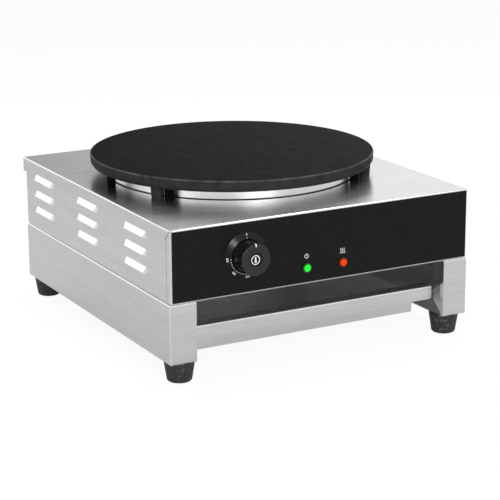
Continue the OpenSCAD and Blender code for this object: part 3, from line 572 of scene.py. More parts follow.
def griddle_material(name, colour, rough):
    """Seasoned cast iron: oiled black on its turned top, greyer cast skin below, and a band along the rim's
    top edge in the grey of bare iron as a painted highlight.
    """
    low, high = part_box("griddle")
    middle = (low + high) / 2
    radius = (high.x - low.x) / 2
    # Grey of bare iron, for the painted highlight along the rim
    highlight_grey = (0.08, 0.08, 0.08)
    finish = Finish(name, Specular_IOR_Level=0.003, Coat_Roughness=0.42)
    tree = finish.tree
    point = centred(tree, (middle.x, middle.y, high.z), 0.0)
    skin = finish.group("cast", Grain=1300.0, Pits=0.3)
    rings = finish.group("turning", Lines=900.0, Point=point)
    height = axes(tree, point)["Z"]
    out = weighted_length(tree, point, (1.0, 1.0, 0.0))
    on_top = remap(tree, height, 0.0, 1.0, -1.2 * MM, -0.2 * MM)
    near_top = remap(tree, height, 0.0, 1.0, -2.4 * MM, -0.9 * MM)
    at_rim = remap(tree, out, 0.0, 1.0, radius - 2.2 * MM, radius - 1.0 * MM)
    oiled = finish.tint(rings["Streak"], shade(colour, 0.05), shade(colour, 0.3))
    raw = finish.tint(skin["Patch"], shade(colour, 1.0), shade(colour, 3.8))
    # Painted highlight: the top edge of the rim, patchy, tinted towards the grey of bare iron
    rim_highlight_zone = maths(tree, "MULTIPLY", at_rim, near_top)
    painted_highlight = maths(tree, "MULTIPLY", rim_highlight_zone, remap(tree, skin["Patch"], 0.25, 1.0, 0.3, 0.6))
    oil = maths(tree, "MULTIPLY", on_top, remap(tree, skin["Patch"], 0.03, 0.12, 0.35, 0.65))
    finish.feed(
        Base_Color=finish.tint(painted_highlight, finish.tint(on_top, raw, oiled), highlight_grey),
        Coat_Weight=oil,
    )
    finish.roughness(skin["Patch"], rough - 0.07, rough + 0.12)
    finish.bump(mix(tree, "FLOAT", on_top, skin["Height"], rings["Height"]), 0.35, 0.10 * MM)
    return finish.material


def knob_material(name, colour, rough, dish):
    """Moulded plastic that shines on the knob's side and rim and is matt in the dish of its face."""
    finish = Finish(name, Specular_IOR_Level=0.10, Coat_Roughness=0.13)
    tree = finish.tree
    cast_skin(finish, colour, rough, grain=1800.0, pits=0.2, strength=0.10, speck=1.25)
    out = weighted_length(tree, centred(tree, box_middle("knob"), 0.0), (1.0, 0.0, 1.0))
    coat_in_dish, coat_outside, fade = 0.15, 0.95, 1.0 * MM
    outside = remap(tree, out, 0.0, 1.0, dish - fade, dish)
    finish.feed(Coat_Weight=remap(tree, outside, coat_in_dish, coat_outside))
    return finish.material


def lens_material(name, colour, centre, radius):
    """A lit lens: bright in the middle and deeper towards its rim."""
    finish = Finish(name, Roughness=0.18, Specular_IOR_Level=0.05, Emission_Strength=1.0)
    tree = finish.tree
    share = weighted_length(tree, centred(tree, centre, 0.0), (1 / radius, 0.0, 1 / radius))
    rim_from, rim_to = 0.66, 0.94
    rim = remap(tree, share, 0.0, 1.0, rim_from, rim_to)
    finish.feed(
        Base_Color=finish.tint(rim, shade(colour, 0.04), shade(colour, 0.01)),
        Emission_Color=finish.tint(rim, colour, shade(colour, 0.06)),
    )
    return finish.material


MATERIALS = {}


def make_materials():
    """All materials of the object, by the names that the pieces use."""
    look = bpy.context.scene.crepe_finish
    dish = bpy.context.scene.crepe_control.dish
    lens_radius = 6.1 * MM
    inner_rough = look.steel_rough + 0.04
    polished = (0.80, 0.80, 0.805)
    dial_black = (0.025, 0.025, 0.026)
    soot = (0.16, 0.15, 0.145)
    MATERIALS.update(
        # Both steels carry the painted highlight on their bends, the inner one more strongly
        steel=brushed_metal("Brushed Steel", look.steel, look.steel_rough, contrast=0.21, painted_highlight=0.8),
        steel_inside=brushed_metal("Inner Steel", look.steel_inside, inner_rough, painted_highlight=1.0, Metallic=0.85),
        ring=brushed_metal(
            "Polished Ring", polished, 0.34, lines=900.0, run=9.0, strength=0.06, Anisotropic_Rotation=0.0
        ),
        zinc=brushed_metal("Zinc Plate", (0.62, 0.62, 0.64), 0.30, lines=900.0, run=400.0, strength=0.05),
        brass=brushed_metal("Turned Brass", (0.70, 0.52, 0.24), 0.28, lines=1500.0, run=600.0),
        copper=brushed_metal("Drawn Copper", (0.72, 0.42, 0.28), 0.30, lines=1500.0, run=300.0),
        element=brushed_metal("Oxidised Tube", soot, 0.48, lines=700.0, run=300.0, contrast=0.2),
        iron=griddle_material("Cast Iron", look.iron, 0.34),
        post=cast_material(
            "Post Black",
            shade(look.iron, 0.1),
            0.40,
            grain=1500.0,
            pits=0.2,
            strength=0.15,
            speck=1.5,
            Specular_IOR_Level=0.03,
        ),
        rubber=cast_material(
            "Foot Rubber",
            look.rubber,
            0.50,
            grain=700.0,
            pits=0.9,
            strength=0.8,
            speck=4.0,
            Specular_IOR_Level=0.25,
        ),
        fascia=smooth_material("Satin Fascia", look.fascia, 0.26, Specular_IOR_Level=0.10),
        plastic=cast_material(
            "Knob Plastic",
            look.plastic,
            0.33,
            grain=1800.0,
            pits=0.2,
            strength=0.10,
            speck=1.25,
            Specular_IOR_Level=0.5,
        ),
        knob=knob_material("Gloss Plastic", look.plastic, 0.33, dish),
        dial=turned_metal("Dial Ring", dial_black, 0.20, box_middle("dial_ring"), 90.0),
        printed=smooth_material("White Print", look.print_white, 0.45, dust=0.9),
        ceramic=smooth_material("Glazed Ceramic", (0.78, 0.76, 0.70), 0.30, dust=0.8),
        seal=cast_material(
            "Black Sealant",
            look.plastic,
            0.45,
            grain=1400.0,
            pits=0.4,
            strength=0.2,
            speck=1.5,
            Specular_IOR_Level=0.05,
        ),
        wool=cast_material(
            "Mineral Wool", (0.74, 0.70, 0.60), 0.85, grain=500.0, pits=1.0, strength=1.0, speck=0.8
        ),
        lead_white=smooth_material("White Lead", (0.72, 0.72, 0.70), 0.45),
        lead_brown=smooth_material("Brown Lead", (0.10, 0.035, 0.012), 0.45),
        lead_blue=smooth_material("Blue Lead", (0.012, 0.05, 0.28), 0.45),
        green_lens=lens_material("Power Lens", look.lamp_green, box_middle("power_lamp_lens"), lens_radius),
        red_lens=lens_material("Heat Lens", look.lamp_red, box_middle("heat_lamp_lens"), lens_radius),
    )


# ---- Mesh helpers ----


def finish_piece(mesh, name, material, body, replaces=(), smooth=35.0, place=None):
    """Links a mesh as a piece that rides on a body, with smooth shading below an angle."""
    if place is not None:
        mesh.transform(place)
    mesh.name = name
    mesh.materials.clear()
    mesh.materials.append(MATERIALS[material])
    piece = bpy.data.objects.new(name, mesh)
    bpy.context.scene.collection.objects.link(piece)
    for face in mesh.polygons:
        face.use_smooth = True
    mesh.set_sharp_from_angle(angle=math.radians(smooth))
    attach(piece, body)
    if replaces:
        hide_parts(*replaces)
    return piece


def bmesh_to_mesh(bm):
    bmesh.ops.remove_doubles(bm, verts=bm.verts, dist=1e-6)
    bmesh.ops.recalc_face_normals(bm, faces=bm.faces)
    mesh = bpy.data.meshes.new("piece")
    bm.to_mesh(mesh)
    bm.free()
    return mesh


def ring_of_points(bm, radius_at, height, segments):
    """Vertices round Z; radius_at(angle) gives each one's radius."""
    ring = []
    for i in range(segments):
        angle = math.tau * i / segments
        radius = radius_at(angle)
        ring.append(bm.verts.new((radius * math.cos(angle), radius * math.sin(angle), height)))
    return ring


def skin(bm, rings, capped=True):
    """Quads between rings of equal length, and a fan over each end where they are capped."""
    for one, two in zip(rings, rings[1:]):
        for i, vertex in enumerate(one):
            j = (i + 1) % len(one)
            bm.faces.new((vertex, one[j], two[j], two[i]))
    if capped:
        for ring in (rings[0], rings[-1]):
            middle = bm.verts.new(sum((v.co for v in ring), Vector()) / len(ring))
            for i, vertex in enumerate(ring):
                bm.faces.new((vertex, ring[(i + 1) % len(ring)], middle))


def lathe(profile, segments):
    """Mesh turned round Z from a closed outline of (radius, height) points."""
    bm = bmesh.new()
    rings = [ring_of_points(bm, lambda angle, r=r: r, h, segments) for r, h in profile]
    skin(bm, [*rings, rings[0]], capped=False)
    return bmesh_to_mesh(bm)


def arc(centre, radius, start, end, steps):
    """Points (x, y) on an arc, angles in degrees."""
    points = []
    for i in range(steps + 1):
        angle = math.radians(start + (end - start) * i / steps)
        points.append((centre[0] + radius * math.cos(angle), centre[1] + radius * math.sin(angle)))
    return points


def circle(centre, radius, steps):
    """Points (x, y) on a whole circle."""
    return arc(centre, radius, 0, 360, steps)[:-1]


def rectangle(half, low, high):
    """Corners (x, y) of a rectangle, as wide to the left of the middle as to the right."""
    return [(-half, low), (half, low), (half, high), (-half, high)]


def flat_shape(outlines, thickness):
    """A thin plate in XY from closed outlines; inner outlines are holes."""
    curve = bpy.data.curves.new("outline", "CURVE")
    curve.dimensions = "2D"
    curve.fill_mode = "BOTH"
    curve.extrude = thickness / 2
    for outline in outlines:
        spline = curve.splines.new("POLY")
        spline.points.add(len(outline) - 1)
        for point, (x, y) in zip(spline.points, outline):
            point.co = (x, y, 0.0, 1.0)
        spline.use_cyclic_u = True
    return curve_to_mesh(curve)


def text_shape(text, size, thickness):
    """A thin plate in the shape of plain figures, centred on the origin."""
    curve = bpy.data.curves.new("figures", "FONT")
    curve.body = text
    curve.size = size
    curve.align_x = "CENTER"
    curve.align_y = "CENTER"
    curve.extrude = thickness / 2
    return curve_to_mesh(curve)


def held(data):
    """An object for a while, to work on a curve or a mesh."""
    holder = bpy.data.objects.new("holder", data)
    bpy.context.scene.collection.objects.link(holder)
    return holder


def plain_mesh(holder):
    """Mesh of an object as it is evaluated."""
    bpy.context.view_layer.update()
    evaluated = holder.evaluated_get(bpy.context.evaluated_depsgraph_get())
    return bpy.data.meshes.new_from_object(evaluated)


def curve_to_mesh(curve):
    holder = held(curve)
    mesh = plain_mesh(holder)
    bpy.data.objects.remove(holder)
    bpy.data.curves.remove(curve)
    return mesh


def merged(meshes_and_places):
    """One mesh from several (mesh, matrix) pairs."""
    bm = bmesh.new()
    for mesh, place in meshes_and_places:
        mesh.transform(place)
        bm.from_mesh(mesh)
        bpy.data.meshes.remove(mesh)
    mesh = bpy.data.meshes.new("merged")
    bm.to_mesh(mesh)
    bm.free()
    return mesh


def paint(nodes, material):
    """Gives frame nodes a material in place of their plain one."""
    for name in nodes:
        for holder in NODES[name].material_slots:
            holder.material = MATERIALS[material]


# ---- Stage ----


class CREPE_OT_stage(bpy.types.Operator):
    """Make the floor, the soft lights and the camera"""

    bl_idname = "crepe.stage"
    bl_label = "Stage"

    def execute(self, context):
        settings = context.scene.crepe_stage
        self.make_world(context, settings)
        self.make_floor(context, settings)
        self.make_lights(context, settings)
        self.make_camera(context, settings)
        context.scene.view_settings.view_transform = "Standard"
        return {"FINISHED"}

    def make_world(self, context, settings):
        """White where the camera sees it, and even for the light on matt surfaces.

        In gloss it is dimmer behind the object, with a dip from left to right and less light high up.
        """
        world = bpy.data.worlds.new("Studio")
        context.scene.world = world
        world.use_nodes = True
        tree = world.node_tree
        tree.nodes.clear()
        output = tree.nodes.new("ShaderNodeOutputWorld")
        sky = tree.nodes.new("ShaderNodeBackground")
        sky.inputs["Color"].default_value = (1.0, 1.0, 1.0, 1.0)
        path = tree.nodes.new("ShaderNodeLightPath").outputs
        towards = axes(tree, tree.nodes.new("ShaderNodeTexCoord").outputs["Generated"])
        behind = remap(tree, towards["Y"], 0.0, 1.0, 0.1, 0.5)
        high_up = remap(tree, towards["Z"], 1.0, settings.high_level, 0.45, 0.60)
        wall = maths(tree, "MULTIPLY", self.room_dip(tree, towards["X"]), high_up)
        before = maths(tree, "SUBTRACT", 1.0, behind)
        mirrored = maths(tree, "ADD", maths(tree, "MULTIPLY", behind, wall), before)
        clear = maths(tree, "MAXIMUM", path["Is Camera Ray"], path["Is Transmission Ray"])
        shown = maths(tree, "MAXIMUM", clear, path["Is Glossy Ray"])
        room = maths(tree, "MULTIPLY", maths(tree, "SUBTRACT", 1.0, shown), settings.room_level)
        level = maths(tree, "ADD", maths(tree, "MULTIPLY", path["Is Glossy Ray"], mirrored), room)
        join(
            tree,
            (maths(tree, "ADD", clear, level), sky.inputs["Strength"]),
            (sky.outputs[0], output.inputs["Surface"]),
        )

    def room_dip(self, tree, sideways):
        """Brightness of the room from its left to its right, from stops (place from -1 to 1, level)."""
        stops = ((-0.30, 0.84), (0.16, 0.62), (0.34, 0.42), (0.47, 0.76), (0.54, 1.0))
        node = tree.nodes.new("ShaderNodeValToRGB")
        ramp = node.color_ramp
        ramp.interpolation = "EASE"
        while len(ramp.elements) < len(stops):
            ramp.elements.new(0.5)
        for element, (place, level) in zip(ramp.elements, stops):
            element.position = (place + 1) / 2
            element.color = (level, level, level, 1.0)
        tree.links.new(maths(tree, "MULTIPLY_ADD", sideways, 0.5, 0.5), node.inputs["Fac"])
        return node.outputs["Color"]

    def make_floor(self, context, settings):
        half = 6.0
        corners = [(x, y, 0.0) for x, y in rectangle(half, -half, half)]
        mesh = bpy.data.meshes.new("floor")
        mesh.from_pydata(corners, [], [(0, 1, 2, 3)])
        mesh.materials.append(self.floor_material(settings))
        floor = bpy.data.objects.new("floor", mesh)
        context.scene.collection.objects.link(floor)

    def floor_material(self, settings):
        """Matt, so that it takes the shadow, and lit from below like a light table, dimmer in gloss."""
        material = bpy.data.materials.new("Pale Floor")
        material.use_nodes = True
        tree = material.node_tree
        tree.nodes.clear()
        output = tree.nodes.new("ShaderNodeOutputMaterial")
        matt = tree.nodes.new("ShaderNodeBsdfDiffuse")
        white = tree.nodes.new("ShaderNodeEmission")
        white.inputs["Color"].default_value = (1.0, 1.0, 1.0, 1.0)
        table = tree.nodes.new("ShaderNodeEmission")
        seen = tree.nodes.new("ShaderNodeMixShader")
        both = tree.nodes.new("ShaderNodeAddShader")
        dimmed = tree.nodes.new("ShaderNodeVectorMath")
        dimmed.operation = "SCALE"
        dimmed.inputs[0].default_value = settings.floor_colour
        path = tree.nodes.new("ShaderNodeLightPath").outputs
        share = maths(tree, "MULTIPLY_ADD", path["Is Glossy Ray"], settings.floor_mirrored - 1.0, 1.0)
        lift = maths(tree, "MULTIPLY", path["Is Diffuse Ray"], settings.floor_lift)
        even = maths(tree, "MULTIPLY_ADD", path["Is Glossy Ray"], settings.floor_lit, lift)
        join(
            tree,
            (share, dimmed.inputs["Scale"]),
            (dimmed.outputs[0], matt.inputs["Color"]),
            (even, table.inputs["Strength"]),
            (maths(tree, "MULTIPLY", path["Is Camera Ray"], settings.floor_glow), seen.inputs[0]),
            (matt.outputs[0], seen.inputs[1]),
            (white.outputs[0], seen.inputs[2]),
            (seen.outputs[0], both.inputs[0]),
            (table.outputs[0], both.inputs[1]),
            (both.outputs[0], output.inputs["Surface"]),
        )
        return material

    def make_lights(self, context, settings):
        """Soft lights that the camera doesn't see."""
        middle = Vector((0.0, 0.0, 0.12))
        # Name, place, size, power, aimed at the object or straight down, and seen in gloss or not
        lights = (
            ("overhead", (0.15, 0.55, 1.75), (2.4, 1.5), settings.key_power, True, False),
            ("strip", (0.85, 0.10, 1.75), (0.36, 2.0), settings.strip_power, False, True),
            ("left", (-1.9, -0.1, 0.9), (1.4, 1.2), settings.side_power, True, True),
            ("back", (-0.75, 1.95, 1.0), (1.7, 1.1), settings.back_power, True, True),
            ("front", (-0.5, -2.0, 1.15), (1.6, 1.0), settings.front_power, True, False),
            ("low_front", (-0.18, -2.2, 0.61), (0.34, 0.28), settings.low_power, True, True),
        )
        for name, place, size, power, aimed, in_gloss in lights:
            data = bpy.data.lights.new(name, "AREA")
            data.shape = "RECTANGLE"
            data.size, data.size_y = size
            data.energy = power
            lamp = bpy.data.objects.new(name, data)
            lamp.location = place
            if aimed:
                lamp.rotation_euler = (middle - Vector(place)).to_track_quat("-Z", "Y").to_euler()
            lamp.visible_camera = False
            lamp.visible_glossy = in_gloss
            context.scene.collection.objects.link(lamp)

    def make_camera(self, context, settings):
        data = bpy.data.cameras.new("camera")
        data.lens = settings.lens
        data.sensor_width = 36.0
        camera = bpy.data.objects.new("camera", data)
        turn = Matrix.Rotation(-math.radians(settings.heading), 4, "Z")
        tilt = Matrix.Rotation(math.radians(90.0 - settings.dip), 4, "X")
        spin = Matrix.Rotation(math.radians(settings.roll), 4, "Z")
        camera.matrix_world = Matrix.Translation(settings.eye) @ turn @ tilt @ spin
        context.scene.collection.objects.link(camera)
        context.scene.camera = camera


# ---- Finishes of the frame's own parts ----


class CREPE_OT_finishes(bpy.types.Operator):
    """Make the materials and give them to the parts of the frame"""

    bl_idname = "crepe.finishes"
    bl_label = "Finishes"

    def execute(self, context):
        make_materials()
        wanted = {
            "steel": (
                "housing_shell",
                "front_panel",
                "base_side_left",
                "base_side_right",
                "drawer_front",
                "rear_panel",
            ),
            "steel_inside": ("drawer_box", "base_rear_panel", "runner_left", "runner_right", "housing_floor"),
            "ring": ("heat_shield",),
            "zinc": (
                "foot_screws",
                "foot_nuts",
                "frame_screws",
                "frame_nuts",
                "rear_panel_screws",
                "drawer_rivets",
                "griddle_studs",
                "griddle_nuts",
                "element_clamp",
                "clamp_bolt",
                "bulb_clip",
                "thermostat_shaft",
                "thermostat_screws",
            ),
            "brass": ("terminal_screws",),
            "copper": ("sensor_bulb", "capillary_tube"),
            "element": ("heating_element_inner", "heating_element_outer"),
            "iron": ("griddle",),
            "post": ("griddle_spacers", "griddle_earth_stud"),
            "rubber": ("foot_front_left", "foot_front_right", "foot_rear_left", "foot_rear_right"),
            "fascia": ("fascia",),
            "plastic": (
                "cable_gland",
                "gland_locknut",
                "power_lamp_body",
                "heat_lamp_body",
                "knob",
                "knob_cap",
            ),
            "dial": ("dial_ring",),
            "ceramic": ("thermostat", "overheat_cutout", "terminal_block"),
            "wool": ("insulation_disc",),
            "lead_white": ("wire_element", "wire_jumpers", "wire_lamps"),
            "lead_brown": ("wire_live",),
            "lead_blue": ("wire_neutral",),
            "green_lens": ("power_lamp_lens",),
            "red_lens": ("heat_lamp_lens",),
        }
        for material, nodes in wanted.items():
            paint(nodes, material)
        missed = sorted(set(NODES) - {n for nodes in wanted.values() for n in nodes})
        if missed:
            raise RuntimeError(f"no finish is given to {missed}")
        return {"FINISHED"}


class CREPE_OT_seal(bpy.types.Operator):
    """Run a bead of black sealant round the foot of the heat shield"""

    bl_idname = "crepe.seal"
    bl_label = "Shield Seal"

    def execute(self, context):
        rise = context.scene.crepe_detail.bead_rise
        middle = box_middle("griddle")
        deck_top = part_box("housing_shell")[1].z
        foot = self.wall_radius(middle, deck_top + rise) + rise
        bead = lathe([(foot + x, y) for x, y in circle((0.0, 0.0), rise, 16)], segments=180)
        place = Matrix.Translation((middle.x, middle.y, deck_top))
        finish_piece(bead, "shield_seal", "seal", BODY, place=place)
        return {"FINISHED"}

    def wall_radius(self, middle, above):
        """Radius of the heat shield's wall, from its vertices above a height."""
        found = [
            math.hypot(v.co.x - middle.x, v.co.y - middle.y)
            for v in NODES["heat_shield"].data.vertices
            if v.co.z > above
        ]
        if not found:
            raise RuntimeError("the heat shield does not rise above the deck")
        return max(found)


# ---- Knob and dial ----


def clock_place(angle, radius):
    """Point (x, y) at a clockwise angle from 12 o'clock, seen from the front."""
    turn = math.radians(angle)
    return radius * math.sin(turn), radius * math.cos(turn)


class CREPE_OT_knob(bpy.types.Operator):
    """Make the fluted knob with its pointer and its thermometer mark"""

    bl_idname = "crepe.knob"
    bl_label = "Knob"
    rim = 1.5 * MM
    dish_depth = 1.6 * MM
    # Radius at the top of the side, as a share of its widest
    taper = 0.97

    def execute(self, context):
        low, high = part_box("knob")
        middle = (low + high) / 2
        self.length = high.y - low.y
        self.radius = (high.x - low.x) / 2
        self.top = self.radius * self.taper
        place = Matrix.Translation((middle.x, high.y, middle.z)) @ FRONT_FACING
        finish_piece(
            self.grip(context.scene.crepe_control),
            "knob_grip",
            "knob",
            KNOB,
            replaces=("knob", "knob_cap"),
            place=place,
        )
        finish_piece(self.pointer(), "knob_pointer", "printed", KNOB, place=place)
        finish_piece(self.thermometer(), "knob_mark", "printed", KNOB, place=place)
        return {"FINISHED"}

    def grip(self, settings):
        """Side with flutes that fade out at both ends, a rounded rim and a dished middle."""
        length, radius, top, rim = self.length, self.radius, self.top, self.rim
        dish, dish_floor = settings.dish, settings.dish - 2.6 * MM
        corner_steps, dish_steps, points_per_flute = 6, 12, 12
        # Shares of the radius, of the length and of the flutes' depth
        side = ((1.0, 0.0, 0.0), (1.0, 0.06, 0.0), (1.0, 0.10, 1.0), (0.985, 0.5, 1.0), (0.975, 0.86, 1.0))
        levels = [(radius * out, up * length, share) for out, up, share in side]
        corner = arc((top - rim, length - rim), rim, 0, 90, corner_steps)
        levels += [(x, y, 0.75 - 0.75 * i / corner_steps) for i, (x, y) in enumerate(corner)]
        levels += [(r, length, 0.0) for r in (top - 3 * MM, dish + 1.6 * MM)]
        for i in range(dish_steps + 1):
            share = i / dish_steps
            fall = 0.5 - 0.5 * math.cos(math.pi * share)
            levels.append((dish - (dish - dish_floor) * share, length - self.dish_depth * fall, 0.0))
        bm = bmesh.new()
        rings = []
        for r, h, share in levels:
            depth = settings.flute_depth * share

            def radius_at(angle, r=r, depth=depth):
                wave = 0.5 + 0.5 * math.cos(settings.flutes * angle)
                return r - depth * wave**1.6

            rings.append(ring_of_points(bm, radius_at, h, settings.flutes * points_per_flute))
        skin(bm, rings)
        return bmesh_to_mesh(bm)

    def pointer(self):
        """White line that comes over the rim at 12 o'clock."""
        half, proud, thick = 0.75 * MM, 0.06 * MM, 0.5 * MM
        back, reach = 5.0 * MM, 3.6 * MM
        path = [(self.radius * 0.972 + proud, self.length - back)]
        path += arc((self.top - self.rim, self.length - self.rim), self.rim + proud, 0, 90, 6)
        path += [(self.top - reach, self.length + proud)]
        bm = bmesh.new()
        rows = [[bm.verts.new((x, r, h)) for x in (-half, half)] for r, h in path]
        for one, two in zip(rows, rows[1:]):
            bm.faces.new((one[0], one[1], two[1], two[0]))
        bmesh.ops.solidify(bm, geom=list(bm.faces), thickness=thick)
        return bmesh_to_mesh(bm)

    def thermometer(self):
        """Ring with a thermometer in it, printed in the dish."""
        thick = 0.08 * MM
        bulb_y, stem_y = -2.2 * MM, 2.8 * MM
        bulb, bulb_hole, stem = 1.55 * MM, 0.65 * MM, 0.85 * MM
        spread = math.degrees(math.asin(stem / bulb))
        ring = [circle((0, 0), 6.2 * MM, 64), circle((0, 0), 5.2 * MM, 64)]
        outer = arc((0, bulb_y), bulb, 90 + spread, 450 - spread, 30) + arc((0, stem_y), stem, 0, 180, 10)
        figure = [outer, circle((0, bulb_y), bulb_hole, 20)]
        lift = Matrix.Translation((0, 0, self.length - self.dish_depth + thick / 2))
        return merged([(flat_shape(shape, thick), lift) for shape in (ring, figure)])


class CREPE_OT_dial(bpy.types.Operator):
    """Print the scale on the dial ring"""

    bl_idname = "crepe.dial"
    bl_label = "Dial"
    ink = 0.12 * MM
    rim = 0.8 * MM
    knob_gap = 1.2 * MM
    dot_circle = 23.9 * MM

    def execute(self, context):
        settings = context.scene.crepe_control
        low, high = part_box("dial_ring")
        middle = (low + high) / 2
        knob_low, knob_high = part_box("knob")
        self.outer = (high.x - low.x) / 2
        self.inner = (knob_high.x - knob_low.x) / 2 + self.knob_gap
        self.rise = high.y - low.y
        count = (settings.highest - settings.lowest) // settings.step
        dots = count * settings.dots_per_step
        sweep = settings.last_angle - settings.first_angle
        parts = []
        for i in range(count + 1):
            text = str(settings.lowest + i * settings.step)
            parts.append(self.figures(settings, text, settings.first_angle + sweep * i / count))
        for i in range(dots + 1):
            parts.append(self.dot(settings, settings.first_angle + sweep * i / dots))
        parts.append(self.dot(settings, 0.0))
        parts.append(self.figures(settings, "0", 0.0))
        place = Matrix.Translation((middle.x, high.y, middle.z)) @ FRONT_FACING
        finish_piece(merged(parts), "dial_scale", "printed", BODY, place=place)
        return {"FINISHED"}

    def on_cone(self, angle, radius):
        """Place on the sloping face, upright towards the rim."""
        share = (self.outer - radius) / (self.outer - self.inner)
        tilt = math.atan2(self.rise - self.rim, self.outer - self.inner)
        x, y = clock_place(angle, radius)
        lift = Matrix.Translation((x, y, self.rim + (self.rise - self.rim) * share))
        return lift @ Matrix.Rotation(-math.radians(angle), 4, "Z") @ Matrix.Rotation(-tilt, 4, "X")

    def figures(self, settings, text, angle):
        shape = text_shape(text, settings.figure_size, self.ink)
        return shape, self.on_cone(angle, settings.figure_radius)

    def dot(self, settings, angle):
        shape = flat_shape([circle((0, 0), settings.dot_size / 2, 16)], self.ink)
        return shape, self.on_cone(angle, self.dot_circle)


class CREPE_OT_symbols(bpy.types.Operator):
    """Print a plain symbol above each lamp"""

    bl_idname = "crepe.symbols"
    bl_label = "Lamp Symbols"
    ink = 0.1 * MM
    rise = 15.5 * MM

    def execute(self, context):
        face_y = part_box("fascia")[0].y
        symbols = (
            ("power_lamp_lens", "power_symbol", self.power()),
            ("heat_lamp_lens", "heat_symbol", self.heat()),
        )
        for lamp, name, outlines in symbols:
            middle = box_middle(lamp)
            place = Matrix.Translation((middle.x, face_y, middle.z + self.rise)) @ FRONT_FACING
            shapes = [(flat_shape([outline], self.ink), Matrix.Identity(4)) for outline in outlines]
            finish_piece(merged(shapes), name, "printed", BODY, place=place)
        return {"FINISHED"}

    def power(self):
        """Open ring with a bar through its gap."""
        outer, inner, gap = 3.0 * MM, 2.35 * MM, 32
        band = arc((0, 0), outer, 90 + gap, 450 - gap, 40) + arc((0, 0), inner, 450 - gap, 90 + gap, 40)
        return [band, rectangle(0.34 * MM, 0.2 * MM, 3.5 * MM)]

    def heat(self):
        """Three rising waves over a line."""
        half, swing, low, height, steps = 0.32 * MM, 0.55 * MM, -1.6 * MM, 5.2 * MM, 20
        outlines = []
        for column in (-2.6, 0.0, 2.6):
            centre = [
                (column * MM + swing * math.sin(math.tau * i / steps), low + height * i / steps)
                for i in range(steps + 1)
            ]
            back = [(x + half, y) for x, y in reversed(centre)]
            outlines.append([(x - half, y) for x, y in centre] + back)
        outlines.append(rectangle(4.2 * MM, -3.0 * MM, -2.35 * MM))
        return outlines


# ---- Fasteners ----


